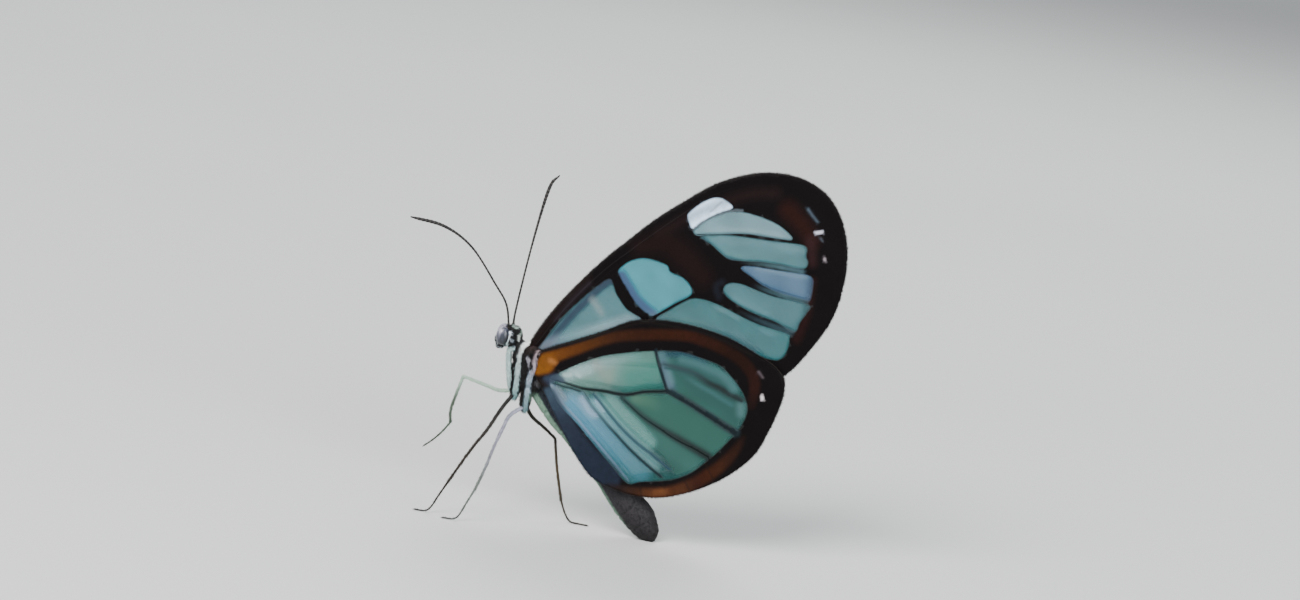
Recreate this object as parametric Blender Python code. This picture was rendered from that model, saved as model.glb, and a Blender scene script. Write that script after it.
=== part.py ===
"""Glasswing butterfly at rest, wings closed over its back, as a life-size still model.

The head points to -X, the left side to -Y. It stands on the plane Z = 0.
Places below are (x back, z up) or (x back, y right, z up) in millimetres, from the point
where the tip of the abdomen meets the floor. The last step moves the whole insect so that
the middle of its outline lies over the origin.
"""
import math

import bmesh
import bpy
from mathutils import Matrix, Vector
from mathutils.geometry import delaunay_2d_cdt

MM = 0.001
GAP = 0.3                     # clearance between pieces that touch
LEFT, RIGHT = -1, 1
WELD = 3e-6                   # metres; points nearer than this are one

# Wings: a sheet with its veins raised on both faces
WING_THICK = 0.5
VEIN_OUT = 0.16               # height of a vein above the outer face
VEIN_IN = 0.1                 # height of a vein above the inner face
VEIN_HALF = 0.34              # half the width of a vein at its foot
FORE_MID = 0.5                # distance of a forewing's middle from the insect's mid plane
HIND_MID = 1.58               # the same for a hindwing, which lies outside the forewing
FORE_FLARE = 0.35             # how much farther out each wing lies at its root
HIND_FLARE = 0.3
FLARE_REACH = 8.0             # distance from the root over which that dies away
WING_ROOT = (-12.9, 14.4)
MESH_STEP = 2.4               # spacing of the points inside a wing
MESH_ROOM = 0.96              # how far those keep from the veins and the rim
MESH_MERGE = 0.03             # points of a wing nearer than this become one
RIM_STEPS = 2                 # points for each stretch of a wing's outline
VEIN_STEPS = 4                # points for each stretch of a vein

FOREWING = [(-14.2, 14.2), (-13.5, 15.4), (-12.4, 17.5), (-10.9, 20.0), (-8.8, 22.9), (-6.9, 25.1),
            (-4.9, 27.3), (-2.6, 29.4), (-0.8, 30.9), (0.7, 31.8), (2.3, 32.5), (3.8, 32.9),
            (5.7, 33.0), (7.3, 32.7), (8.9, 31.9), (10.2, 30.5), (11.2, 28.4), (11.6, 25.9),
            (11.5, 23.3), (11.0, 21.2), (10.0, 19.1), (8.6, 16.8), (7.3, 15.8), (4.4, 15.6),
            (0.2, 15.3), (-4.0, 14.9), (-8.2, 14.4), (-11.6, 13.9), (-13.4, 13.5)]
HINDWING = [(-13.5, 14.0), (-12.7, 14.8), (-11.8, 15.3), (-10.2, 16.1), (-7.8, 17.3), (-5.5, 18.6),
            (-4.0, 19.0), (-2.2, 19.2), (0.4, 19.1), (3.1, 18.6), (5.3, 17.8), (7.2, 16.9),
            (8.1, 15.9), (8.3, 14.7), (8.1, 13.2), (7.6, 11.3), (6.8, 9.2), (5.2, 7.3), (3.2, 5.8),
            (1.2, 4.8), (-0.8, 4.2), (-2.8, 4.1), (-4.7, 4.4), (-6.4, 5.0), (-7.8, 6.3),
            (-9.2, 8.1), (-10.5, 9.9), (-11.5, 11.4), (-12.4, 12.4), (-13.3, 13.0)]
FORE_VEINS = {
    "costal": [(-13.1, 15.1), (-10.4, 19.9), (-6.4, 24.7), (-2.2, 28.9), (2.0, 31.7), (4.6, 32.2)],
    "radial": [(-12.7, 15.1), (-9.3, 20.5), (-5.7, 24.3), (-1.5, 27.1), (1.3, 29.5), (7.2, 31.3)],
    "cubital": [(-12.4, 14.7), (-7.8, 16.6), (-3.9, 19.2), (-0.6, 21.6)],
    "cell bar": [(-7.7, 22.4), (-6.4, 20.9), (-3.9, 19.2)],
    "cell end": [(-4.1, 25.4), (-1.4, 24.4), (-0.1, 23.1), (-0.6, 21.6)],
    "medial 1": [(-1.5, 27.1), (3.2, 27.6), (10.9, 27.5)],
    "medial 2": [(-1.4, 24.4), (4.4, 25.4), (11.2, 25.2)],
    "medial 3": [(-0.1, 23.1), (3.2, 23.6), (11.1, 22.6)],
    "cubital 1": [(-0.6, 21.6), (4.4, 20.7), (10.3, 19.7)],
    "cubital 2": [(-3.9, 19.2), (1.9, 17.8), (7.9, 16.4)],
    "anal": [(-12.3, 14.3), (-7.5, 15.2), (-2.5, 15.8), (2.6, 16.2), (6.6, 16.2)],
}
HIND_VEINS = {
    "costal": [(-12.5, 14.2), (-9.8, 15.5), (-4.1, 18.0), (0.5, 18.3), (5.0, 17.1), (7.4, 15.9)],
    "cell top": [(-11.9, 13.6), (-7.1, 15.7), (-2.9, 16.7), (2.1, 16.5), (4.3, 15.2), (7.9, 13.6)],
    "cell end": [(-2.9, 16.7), (-2.5, 15.5), (-1.4, 13.5)],
    "cubital": [(-11.8, 13.0), (-8.5, 12.5), (-5.1, 12.6), (-1.4, 13.5)],
    "medial 2": [(-2.5, 15.5), (1.2, 14.7), (7.7, 12.0)],
    "medial 3": [(-1.4, 13.5), (1.6, 12.2), (7.0, 9.9)],
    "cubital 1": [(-5.1, 12.6), (-2.4, 10.8), (4.7, 7.4)],
    "cubital 2": [(-8.5, 12.5), (-3.5, 8.0), (1.0, 5.2)],
    "anal": [(-11.9, 12.7), (-9.2, 10.4), (-3.3, 5.3), (-2.4, 4.5)],
    "inner": [(-12.1, 12.5), (-9.8, 9.3), (-5.8, 5.0)],
}

BALL_SIDES = 20               # sides of a rounded lump
THORAX_SIDES = 26
HEAD_SIDES = 24
LUMP_SIDES = 14

# Body: centre and half sizes of each rounded part
HEAD = ((-15.1, 0.0, 15.5), (0.95, 0.85, 0.95))
EYE = ((-15.9, 0.78, 15.5), (0.58, 0.55, 0.8))
THORAX = ((-13.35, 0.0, 13.1), (1.35, 1.35, 2.25))
THORAX_LEAN = 9.7             # degrees, the back leans towards the tail
COLLAR = ((-14.35, 0.0, 14.6), (0.75, 0.85, 0.8))
HIND_THORAX = ((-12.6, 0.0, 11.8), (0.85, 1.05, 0.95))
SIDE_LUMPS = [                # made on both sides: coxae, then the wings' sockets
    ((-14.1, 0.62, 11.3), (0.42, 0.42, 1.05)),
    ((-13.1, 0.62, 10.5), (0.46, 0.42, 1.15)),
    ((-13.1, 0.85, 14.7), (0.7, 0.5, 0.6)),
    ((-12.5, 1.4, 13.6), (0.65, 0.6, 0.75)),
]
# Abdomen: centre x and z, half depth, half width
ABDOMEN = [(-12.7, 12.1, 0.7, 0.7), (-11.7, 10.75, 0.75, 0.75), (-10.07, 9.16, 0.86, 0.8),
           (-6.84, 6.52, 1.08, 0.92), (-5.03, 4.99, 1.2, 0.97), (-3.32, 3.18, 1.32, 1.0),
           (-1.97, 1.97, 1.34, 0.98), (-1.32, 1.25, 1.18, 0.9), (-0.8, 0.68, 0.9, 0.75),
           (-0.52, 0.34, 0.6, 0.55)]
ABDOMEN_RINGS = 30
ABDOMEN_STEPS = 8             # points for each stretch of the abdomen's middle line
TANGENT_SHARE = 0.02          # share of that line over which its direction is read
ABDOMEN_SIDES = 20
SEGMENTS = 9                  # the abdomen's visible rings of armour
SEGMENT_SWELL = 0.05

# Feelers, mouthparts and legs: routes and half thicknesses
ANTENNA_LEFT = [(-15.45, -0.3, 15.9), (-16.0, -0.6, 18.1), (-17.2, -1.1, 19.8), (-19.6, -2.0, 22.7),
                (-22.1, -2.9, 24.2), (-25.1, -3.5, 24.6)]
ANTENNA_RIGHT = [(-15.15, 0.3, 15.9), (-15.2, 0.4, 17.6), (-14.8, 1.2, 23.2), (-14.2, 1.8, 28.1),
                 (-13.5, 2.0, 29.5)]
ANTENNA_RADII = [0.25, 0.25, 0.25, 0.25, 0.3, 0.32, 0.17]
PALP = [(-15.6, 0.5, 14.8), (-16.1, 0.7, 14.12), (-16.5, 0.76, 14.2), (-16.72, 0.78, 14.62)]
PALP_RADII = [0.27, 0.27, 0.25, 0.14]
COIL_CENTRE = (-16.0, 0.0, 14.2)
COIL_RADIUS = 0.55
COIL_WIDTH = 0.5
COIL_SIDES = 24
COIL_ROUNDING = 0.12
FORELEG = [(-14.5, 0.5, 14.2), (-15.2, 0.55, 13.9), (-15.25, 0.58, 13.0), (-15.0, 0.6, 11.6),
           (-14.88, 0.6, 11.0)]
FORELEG_RADII = [0.26, 0.27, 0.25, 0.15]
LEGS = {                      # thigh, shin and foot, each from the joint before it
    "midleg_l": ([(-14.1, -0.7, 10.9), (-14.9, -1.4, 9.5), (-15.8, -2.3, 7.6), (-16.6, -3.0, 6.3)],
                 [(-17.5, -3.3, 4.5), (-18.3, -3.5, 2.8)],
                 [(-18.9, -3.6, 1.6), (-19.4, -3.7, 0.7), (-19.9, -3.75, 0.2), (-20.7, -3.75, 0.2)]),
    "midleg_r": ([(-14.1, 0.7, 10.9), (-15.4, 1.2, 10.4), (-16.6, 2.0, 10.45), (-18.8, 3.4, 10.6)],
                 [(-19.4, 4.0, 7.6), (-19.3, 4.4, 6.2)],
                 [(-19.9, 4.6, 5.2), (-20.6, 4.85, 4.3), (-21.3, 5.0, 3.6)]),
    "hindleg_l": ([(-13.1, -0.7, 9.9), (-14.1, -1.3, 9.0), (-14.5, -1.9, 8.0), (-15.0, -2.9, 6.3)],
                  [(-15.4, -3.6, 4.5), (-15.9, -4.3, 2.8)],
                  [(-16.4, -4.6, 1.7), (-16.9, -4.8, 0.7), (-17.4, -4.85, 0.2), (-18.2, -4.9, 0.2)]),
    "hindleg_r": ([(-13.1, 0.7, 9.9), (-12.4, 1.1, 8.7), (-11.2, 1.6, 7.8), (-10.1, 1.9, 6.95)],
                  [(-9.5, 1.8, 4.4), (-8.7, 1.5, 1.8)],
                  [(-8.2, 1.35, 0.9), (-7.6, 1.2, 0.25), (-6.9, 1.15, 0.2), (-6.1, 1.1, 0.2)]),
}
PALE_LEGS = ("hindleg_l", "midleg_r")
FEMUR_RADII = [0.36, 0.36, 0.32, 0.28]
TIBIA_RADII = [0.26, 0.26, 0.26]
TARSUS_RADII = [0.25, 0.25, 0.25, 0.18]

TUBE_STEPS = 3                # points along a tube for each stretch of its route
SHARP_ANGLE = 40              # degrees; edges more bent than this stay sharp

# Colour, roughness and metallic value
FINISHES = {
    "shell": ((0.02, 0.017, 0.016), 0.55, 0.0),
    "abdomen": ((0.055, 0.05, 0.055), 0.6, 0.0),
    "eye": ((0.22, 0.2, 0.2), 0.2, 0.0),
    "wing": ((0.25, 0.4, 0.38), 0.3, 0.0),
    "limb_dark": ((0.02, 0.02, 0.018), 0.5, 0.0),
    "limb_pale": ((0.5, 0.56, 0.52), 0.6, 0.0),
}


def clear_scene():
    """Remove what the scene holds."""
    for obj in list(bpy.data.objects):
        bpy.data.objects.remove(obj, do_unlink=True)


def collection(name):
    """A new collection under the scene's own."""
    made = bpy.data.collections.new(name)
    bpy.context.scene.collection.children.link(made)
    return made


def finish(name):
    """The material of that name."""
    made = bpy.data.materials.get(name)
    if made is None:
        colour, roughness, metallic = FINISHES[name]
        made = bpy.data.materials.new(name)
        made.use_nodes = True
        shader = made.node_tree.nodes["Principled BSDF"]
        shader.inputs["Base Color"].default_value = (*colour, 1.0)
        shader.inputs["Roughness"].default_value = roughness
        shader.inputs["Metallic"].default_value = metallic
    return made


def add_mesh(name, mesh, into):
    """An object for the mesh, in the collection."""
    obj = bpy.data.objects.new(name, mesh)
    into.objects.link(obj)
    return obj


def smooth_route(points, steps):
    """Points along a smooth curve through the given ones."""
    points = [Vector(point) for point in points]
    first = 2 * points[0] - points[1]
    last = 2 * points[-1] - points[-2]
    padded = [first, *points, last]
    route = []
    for before, start, end, after in zip(padded, padded[1:], padded[2:], padded[3:]):
        for step in range(steps):
            t = step / steps
            pull = (end - before) * t
            bend = (2 * before - 5 * start + 4 * end - after) * t ** 2
            turn = (3 * start - before - 3 * end + after) * t ** 3
            route.append(start + 0.5 * (pull + bend + turn))
    route.append(points[-1])
    return route


def smooth_loop(points, steps):
    """Points along a smooth closed curve through the given ones."""
    wrapped = [points[-1], *points, points[0], points[1]]
    return smooth_route(wrapped, steps)[steps:-steps - 1]


def along(values, share):
    """The value at a share of the way through an even list."""
    place = min(share, 0.999999) * (len(values) - 1)
    index = int(place)
    return values[index] + (values[index + 1] - values[index]) * (place - index)


def tube(name, points, radii, into, grow=0.0):
    """A closed tapering tube along a smooth route, larger all round by grow."""
    route = smooth_route(points, TUBE_STEPS)
    route[0] += (route[0] - route[1]).normalized() * grow
    route[-1] += (route[-1] - route[-2]).normalized() * grow
    data = bpy.data.curves.new(name, "CURVE")
    data.dimensions = "3D"
    data.bevel_depth = MM
    data.bevel_resolution = 2
    data.use_fill_caps = True
    spline = data.splines.new("POLY")
    spline.points.add(len(route) - 1)
    for index, (point, place) in enumerate(zip(spline.points, route)):
        point.co = (*(place * MM), 1.0)
        point.radius = along(radii, index / (len(route) - 1)) + grow
    curve = add_mesh(name + "_route", data, into)
    mesh = bpy.data.meshes.new_from_object(curve.evaluated_get(bpy.context.evaluated_depsgraph_get()))
    mesh.name = name
    bpy.data.objects.remove(curve, do_unlink=True)
    obj = add_mesh(name, mesh, into)
    tidy(obj)
    return obj


def tidy(obj):
    """Weld loose caps and turn every face outwards."""
    work = bmesh.new()
    work.from_mesh(obj.data)
    bmesh.ops.remove_doubles(work, verts=work.verts, dist=WELD)
    bmesh.ops.recalc_face_normals(work, faces=work.faces)
    work.to_mesh(obj.data)
    work.free()


def ball(name, centre, halves, into, grow=0.0, lean=0.0, segments=BALL_SIDES):
    """A rounded lump with three half sizes, leaning towards the tail, larger by grow."""
    work = bmesh.new()
    bmesh.ops.create_uvsphere(work, u_segments=segments, v_segments=segments // 2 + 2, radius=MM)
    size = Matrix.Diagonal((*[half + grow for half in halves], 1.0))
    turn = Matrix.Rotation(math.radians(lean), 4, "Y")
    place = Matrix.Translation(Vector(centre) * MM)
    bmesh.ops.transform(work, matrix=place @ turn @ size, verts=work.verts)
    mesh = bpy.data.meshes.new(name)
    work.to_mesh(mesh)
    work.free()
    return add_mesh(name, mesh, into)


def apply_boolean(obj, operation, others):
    """Join the other objects to this one, or cut them from it."""
    group = bpy.data.collections.new("operands")
    for other in others:
        group.objects.link(other)
    modifier = obj.modifiers.new("Boolean", "BOOLEAN")
    modifier.operation = operation
    modifier.operand_type = "COLLECTION"
    modifier.collection = group
    modifier.solver = "EXACT"
    mesh = bpy.data.meshes.new_from_object(obj.evaluated_get(bpy.context.evaluated_depsgraph_get()))
    obj.modifiers.remove(modifier)
    obj.data = mesh
    bpy.data.collections.remove(group)
    keep_largest(obj)


def fuse(body, lumps):
    """Join the lumps to the body as one closed surface."""
    apply_boolean(body, "UNION", lumps)
    for lump in lumps:
        bpy.data.objects.remove(lump, do_unlink=True)


def surface_volume(faces):
    """The volume inside a closed surface."""
    total = 0.0
    for face in faces:
        corners = [vertex.co for vertex in face.verts]
        for second, third in zip(corners[1:], corners[2:]):
            total += corners[0].dot(second.cross(third))
    return abs(total) / 6


def keep_largest(obj):
    """Drop every closed surface but the one that holds most."""
    work = bmesh.new()
    work.from_mesh(obj.data)
    bmesh.ops.remove_doubles(work, verts=work.verts, dist=WELD)
    bmesh.ops.dissolve_degenerate(work, dist=WELD, edges=work.edges)
    bmesh.ops.triangulate(work, faces=work.faces)
    left = set(work.faces)
    shells = []
    while left:
        stack = [left.pop()]
        shell = list(stack)
        while stack:
            face = stack.pop()
            for edge in face.edges:
                for near in edge.link_faces:
                    if near in left:
                        left.remove(near)
                        shell.append(near)
                        stack.append(near)
        shells.append(shell)
    largest = max(shells, key=surface_volume)
    extra = [face for shell in shells if shell is not largest for face in shell]
    bmesh.ops.delete(work, geom=extra, context="FACES")
    work.to_mesh(obj.data)
    work.free()


def as_cutter(obj):
    """Hide an object that only cuts others."""
    obj.hide_render = True
    obj.display_type = "WIRE"
    return obj


def level_sole(obj):
    """Cut off what reaches below the floor, leaving a small flat."""
    work = bmesh.new()
    work.from_mesh(obj.data)
    everything = [*work.verts, *work.edges, *work.faces]
    bmesh.ops.bisect_plane(work, geom=everything, dist=WELD, plane_co=(0, 0, 0),
                           plane_no=(0, 0, 1), clear_inner=True)
    rim = [edge for edge in work.edges if edge.is_boundary]
    bmesh.ops.holes_fill(work, edges=rim, sides=len(rim))
    bmesh.ops.recalc_face_normals(work, faces=work.faces)
    work.to_mesh(obj.data)
    work.free()


def round_shading(obj, name):
    """Give the object its finish and smooth its round faces."""
    obj.data.materials.clear()
    obj.data.materials.append(finish(name))
    obj.data.shade_smooth()
    obj.data.set_sharp_from_angle(angle=math.radians(SHARP_ANGLE))


def vein_height(place, veins):
    """How high the surface is raised at a place, from 0 to 1."""
    height = 0.0
    for route in veins:
        for start, end in zip(route, route[1:]):
            run = end - start
            share = max(0.0, min(1.0, (place - start).dot(run) / run.length_squared))
            away = (place - start - run * share).length
            height = max(height, 1.0 - away / VEIN_HALF)
    return height


def offset_route(route, distance):
    """The route moved sideways in its own plane."""
    moved = []
    for index, place in enumerate(route):
        ahead = route[min(index + 1, len(route) - 1)]
        behind = route[max(index - 1, 0)]
        run = (ahead - behind).normalized()
        moved.append(place + Vector((-run.y, run.x)) * distance)
    return moved


def wing_plan(outline, veins):
    """Triangles that fill the outline, with edges along each vein's crest and feet."""
    rim = smooth_loop(outline, RIM_STEPS)
    places = list(rim)
    edges = [(index, (index + 1) % len(rim)) for index in range(len(rim))]
    for route in veins:
        for line in (route, offset_route(route, VEIN_HALF), offset_route(route, -VEIN_HALF)):
            first = len(places)
            places += line
            edges += [(first + index, first + index + 1) for index in range(len(line) - 1)]
        run = (route[-1] - route[-2]).normalized()
        places.append(route[-1] + run * VEIN_HALF)
    lows = [min(place[axis] for place in rim) for axis in range(2)]
    highs = [max(place[axis] for place in rim) for axis in range(2)]
    for row in range(int((highs[1] - lows[1]) / MESH_STEP) + 1):
        for column in range(int((highs[0] - lows[0]) / MESH_STEP) + 1):
            shift = 0.5 * (row % 2)
            place = Vector((lows[0] + (column + shift) * MESH_STEP, lows[1] + row * MESH_STEP))
            near = min((place - other).length for other in places)
            if near > MESH_ROOM and vein_height(place, veins) == 0.0:
                places.append(place)
    filled = delaunay_2d_cdt(places, edges, [list(range(len(rim)))], 1, MESH_MERGE)
    return filled[0], filled[2]


def wing_middle(place, middle, flare):
    """The distance of a wing's middle surface from the insect's mid plane."""
    away = min(1.0, (place - Vector(WING_ROOT)).length / FLARE_REACH)
    return middle + flare * (1.0 - away) ** 2


def wing(name, outline, veins, middle, flare, side, into):
    """A closed sheet, triangulated alike on both faces, with its veins raised."""
    routes = [smooth_route(points, VEIN_STEPS) for points in veins.values()]
    places, triangles = wing_plan(outline, routes)
    work = bmesh.new()
    faces = {}
    for face, height, sign in (("outer", VEIN_OUT, 1), ("inner", VEIN_IN, -1)):
        faces[face] = []
        for place in places:
            raised = WING_THICK / 2 + height * vein_height(place, routes)
            out = wing_middle(place, middle, flare) + sign * raised
            faces[face].append(work.verts.new(Vector((place.x, side * out, place.y)) * MM))
    uses = {}
    for triangle in triangles:
        work.faces.new([faces["outer"][index] for index in triangle])
        work.faces.new([faces["inner"][index] for index in reversed(triangle)])
        for pair in zip(triangle, [*triangle[1:], triangle[0]]):
            uses.setdefault(frozenset(pair), []).append(pair)
    for pairs in uses.values():
        if len(pairs) == 1:
            start, end = pairs[0]
            low, high = faces["inner"], faces["outer"]
            work.faces.new([high[end], high[start], low[start]])
            work.faces.new([high[end], low[start], low[end]])
    loose = [vertex for vertex in work.verts if not vertex.link_faces]
    bmesh.ops.delete(work, geom=loose, context="VERTS")
    bmesh.ops.recalc_face_normals(work, faces=work.faces)
    mesh = bpy.data.meshes.new(name)
    work.to_mesh(mesh)
    work.free()
    return add_mesh(name, mesh, into)


def abdomen(name, into):
    """A bent loft of oval rings, swelling a little over each segment."""
    centres = smooth_route([(x, 0.0, z) for x, z, _, _ in ABDOMEN], ABDOMEN_STEPS)
    work = bmesh.new()
    loops = []
    for ring in range(ABDOMEN_RINGS):
        share = ring / (ABDOMEN_RINGS - 1)
        centre = along(centres, share)
        ahead = along(centres, min(1.0, share + TANGENT_SHARE))
        ahead -= along(centres, max(0.0, share - TANGENT_SHARE))
        up = Vector((-ahead.z, 0.0, ahead.x)).normalized()
        swell = SEGMENT_SWELL * abs(math.sin(math.pi * SEGMENTS * share))
        depth = along([row[2] for row in ABDOMEN], share) + swell
        width = along([row[3] for row in ABDOMEN], share) + swell
        loop = []
        for side in range(ABDOMEN_SIDES):
            turn = math.tau * side / ABDOMEN_SIDES
            offset = up * depth * math.cos(turn) + Vector((0.0, width * math.sin(turn), 0.0))
            loop.append(work.verts.new((centre + offset) * MM))
        loops.append(loop)
    for near, far in zip(loops, loops[1:]):
        for side in range(ABDOMEN_SIDES):
            after = (side + 1) % ABDOMEN_SIDES
            work.faces.new([near[side], near[after], far[after], far[side]])
    work.faces.new(loops[0])
    work.faces.new(loops[-1])
    bmesh.ops.recalc_face_normals(work, faces=work.faces)
    mesh = bpy.data.meshes.new(name)
    work.to_mesh(mesh)
    work.free()
    return add_mesh(name, mesh, into)


def thorax(name, into, grow=0.0):
    """The chest, its collar, the coxae and the wings' sockets, fused."""
    body = ball(name, *THORAX, into, grow, THORAX_LEAN, THORAX_SIDES)
    lumps = [ball("collar", *COLLAR, into, grow), ball("hind_thorax", *HIND_THORAX, into, grow)]
    for number, (centre, halves) in enumerate(SIDE_LUMPS):
        for side in (LEFT, RIGHT):
            place = (centre[0], side * centre[1], centre[2])
            lumps.append(ball(f"lump_{number}_{side}", place, halves, into, grow, 0.0, LUMP_SIDES))
    fuse(body, lumps)
    return body


def proboscis(name, into):
    """The coiled tongue as one disc with a rounded rim."""
    work = bmesh.new()
    turn = Matrix.Rotation(math.radians(90), 4, "X")
    place = Matrix.Translation(Vector(COIL_CENTRE) * MM)
    bmesh.ops.create_cone(work, cap_ends=True, segments=COIL_SIDES, radius1=COIL_RADIUS * MM,
                          radius2=COIL_RADIUS * MM, depth=COIL_WIDTH * MM, matrix=place @ turn)
    rim = [edge for edge in work.edges if abs(edge.verts[0].co.y - edge.verts[1].co.y) < WELD]
    bmesh.ops.bevel(work, geom=rim, offset=COIL_ROUNDING * MM, segments=2, affect="EDGES", profile=0.5)
    mesh = bpy.data.meshes.new(name)
    work.to_mesh(mesh)
    work.free()
    return add_mesh(name, mesh, into)


def leg(name, into, cutters, chest_room):
    """Thigh, shin and foot, each cut clear of the one before it."""
    thigh_route, shin_route, foot_route = LEGS[name]
    shin_route = [thigh_route[-1], *shin_route]
    foot_route = [shin_route[-1], *foot_route]
    thigh = tube(name + "_femur", thigh_route, FEMUR_RADII, into)
    shin = tube(name + "_tibia", shin_route, TIBIA_RADII, into)
    foot = tube(name + "_tarsus", foot_route, TARSUS_RADII, into)
    thigh_room = as_cutter(tube(name + "_knee_room", thigh_route, FEMUR_RADII, cutters, GAP))
    shin_room = as_cutter(tube(name + "_ankle_room", shin_route, TIBIA_RADII, cutters, GAP))
    apply_boolean(thigh, "DIFFERENCE", [chest_room])
    apply_boolean(shin, "DIFFERENCE", [thigh_room])
    apply_boolean(foot, "DIFFERENCE", [shin_room])
    level_sole(foot)
    return [thigh, shin, foot]


def centre_on_origin(objects):
    """Move the insect so that the middle of its outline lies over the origin."""
    corners = [vertex.co for obj in objects for vertex in obj.data.vertices]
    move = Vector((0.0, 0.0, 0.0))
    for axis in range(2):
        values = [corner[axis] for corner in corners]
        move[axis] = -(min(values) + max(values)) / 2
    for obj in objects:
        obj.data.transform(Matrix.Translation(move))


def main():
    """Build every part."""
    clear_scene()
    insect = collection("glasswing_butterfly")
    cutters = collection("cutters")
    chest_room = as_cutter(thorax("chest_room", cutters, GAP))
    head_room = as_cutter(ball("head_room", *HEAD, cutters, GAP))

    chest = thorax("thorax", insect)
    head = ball("head", *HEAD, insect, 0.0, 0.0, HEAD_SIDES)
    apply_boolean(head, "DIFFERENCE", [chest_room])
    belly = abdomen("abdomen", insect)
    apply_boolean(belly, "DIFFERENCE", [chest_room])
    level_sole(belly)
    tongue = proboscis("proboscis", insect)
    apply_boolean(tongue, "DIFFERENCE", [head_room])
    pieces = {chest: "shell", head: "shell", belly: "abdomen", tongue: "limb_dark"}

    for side, letter in ((LEFT, "l"), (RIGHT, "r")):
        def mirror(points):
            return [(x, side * y, z) for x, y, z in points]

        eye_centre = mirror([EYE[0]])[0]
        eye = ball("eye_" + letter, eye_centre, EYE[1], insect)
        eye_room = as_cutter(ball("eye_room_" + letter, eye_centre, EYE[1], cutters, GAP))
        apply_boolean(eye, "DIFFERENCE", [head_room])
        palp = tube("palp_" + letter, mirror(PALP), PALP_RADII, insect)
        apply_boolean(palp, "DIFFERENCE", [head_room])
        apply_boolean(palp, "DIFFERENCE", [eye_room])
        route = ANTENNA_LEFT if side == LEFT else ANTENNA_RIGHT
        antenna = tube("antenna_" + letter, route, ANTENNA_RADII, insect)
        apply_boolean(antenna, "DIFFERENCE", [head_room])
        foreleg = tube("foreleg_" + letter, mirror(FORELEG), FORELEG_RADII, insect)
        apply_boolean(foreleg, "DIFFERENCE", [chest_room])
        fore = wing("wing_fore_" + letter, FOREWING, FORE_VEINS, FORE_MID, FORE_FLARE, side, insect)
        hind = wing("wing_hind_" + letter, HINDWING, HIND_VEINS, HIND_MID, HIND_FLARE, side, insect)
        for sheet in (fore, hind):
            apply_boolean(sheet, "DIFFERENCE", [chest_room])
            pieces[sheet] = "wing"
        pieces.update({eye: "eye", palp: "limb_dark", antenna: "limb_dark", foreleg: "limb_pale"})

    for name in LEGS:
        for piece in leg(name, insect, cutters, chest_room):
            pieces[piece] = "limb_pale" if name in PALE_LEGS else "limb_dark"

    for piece, look in pieces.items():
        round_shading(piece, look)
    centre_on_origin(list(pieces))


main()
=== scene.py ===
import math
from collections import namedtuple

import bmesh
import bpy
import numpy as np
from mathutils import Matrix, Vector, noise
from mathutils.geometry import delaunay_2d_cdt


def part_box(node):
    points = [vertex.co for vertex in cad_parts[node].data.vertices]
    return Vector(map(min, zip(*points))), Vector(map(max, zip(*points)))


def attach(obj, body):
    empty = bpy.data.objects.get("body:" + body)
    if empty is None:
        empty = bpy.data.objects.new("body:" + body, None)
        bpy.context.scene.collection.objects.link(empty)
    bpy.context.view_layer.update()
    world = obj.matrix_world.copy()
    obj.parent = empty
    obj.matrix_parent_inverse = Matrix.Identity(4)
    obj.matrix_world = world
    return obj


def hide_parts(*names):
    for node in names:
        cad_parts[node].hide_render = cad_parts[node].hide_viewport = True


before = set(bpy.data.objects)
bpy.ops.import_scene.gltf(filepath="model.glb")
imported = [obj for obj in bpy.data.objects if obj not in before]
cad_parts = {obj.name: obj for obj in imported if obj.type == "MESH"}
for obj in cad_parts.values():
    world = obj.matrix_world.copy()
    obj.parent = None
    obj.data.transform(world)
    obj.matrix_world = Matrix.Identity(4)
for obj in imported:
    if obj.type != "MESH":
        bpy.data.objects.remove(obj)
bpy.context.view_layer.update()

# Sizes are millimetres from the point where the abdomen's tip meets the floor:
# x back, y right, z up. The near eye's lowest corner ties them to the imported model.
MM = 0.001
NEAR_EYE_CORNER = Vector((-16.48, -1.33, 14.7))
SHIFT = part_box("eye_l")[0] - NEAR_EYE_CORNER * MM
LEFT, RIGHT = -1, 1            # signs of y
SIDES = ((LEFT, "l"), (RIGHT, "r"))

# How the photograph looks at the insect
PIXEL = 0.08434                # millimetres of the insect across one pixel
ROLL = math.radians(10)        # the ground falls to the right in the picture
RISE = math.radians(10)        # the camera looks down by this much
TIP_PIXEL = (657, 545)         # where the abdomen's tip stands
PHOTO_CENTRE = (650, 300)
PHOTO_WIDTH = 1300
CAMERA_AWAY = 0.30             # metres
SENSOR = 36.0
LAMPS = (                      # name, place in metres from the model, size, power, colour
    ("key", (-0.25, -0.4, 0.42), 0.35, 6.2, (1.0, 0.98, 0.95)),
    ("fill", (0.35, -0.42, 0.16), 0.4, 3.0, (0.92, 0.97, 1.0)),
    ("back", (0.1, 0.4, 0.4), 0.35, 2.0, (1.0, 1.0, 1.0)))
SKY_TONE = (0.86, 0.9, 0.95, 1.0)
SKY_STRENGTH = 0.55
FLOOR_TONES = ((0.60, 0.61, 0.60, 1.0), (0.66, 0.67, 0.66, 1.0))
HAIR_SEED = 11

# Clear membrane
CLEAR = 0.55                   # how much one face of it hides
CLOUDED = 0.86                 # the same in the darker cells
SCALED = 0.985                 # cover from which a place counts as scales
SHEEN = np.array([0.072, 0.036, 0.036])         # light that its gloss adds
FLOOR_LIGHT = 0.6              # light of the floor behind the wings' four faces
MEMBRANE_LIT = 1.25            # how brightly the lamps show its own colour
DARKEST = 0.004                # the darkest colour of its own that it can have


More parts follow.
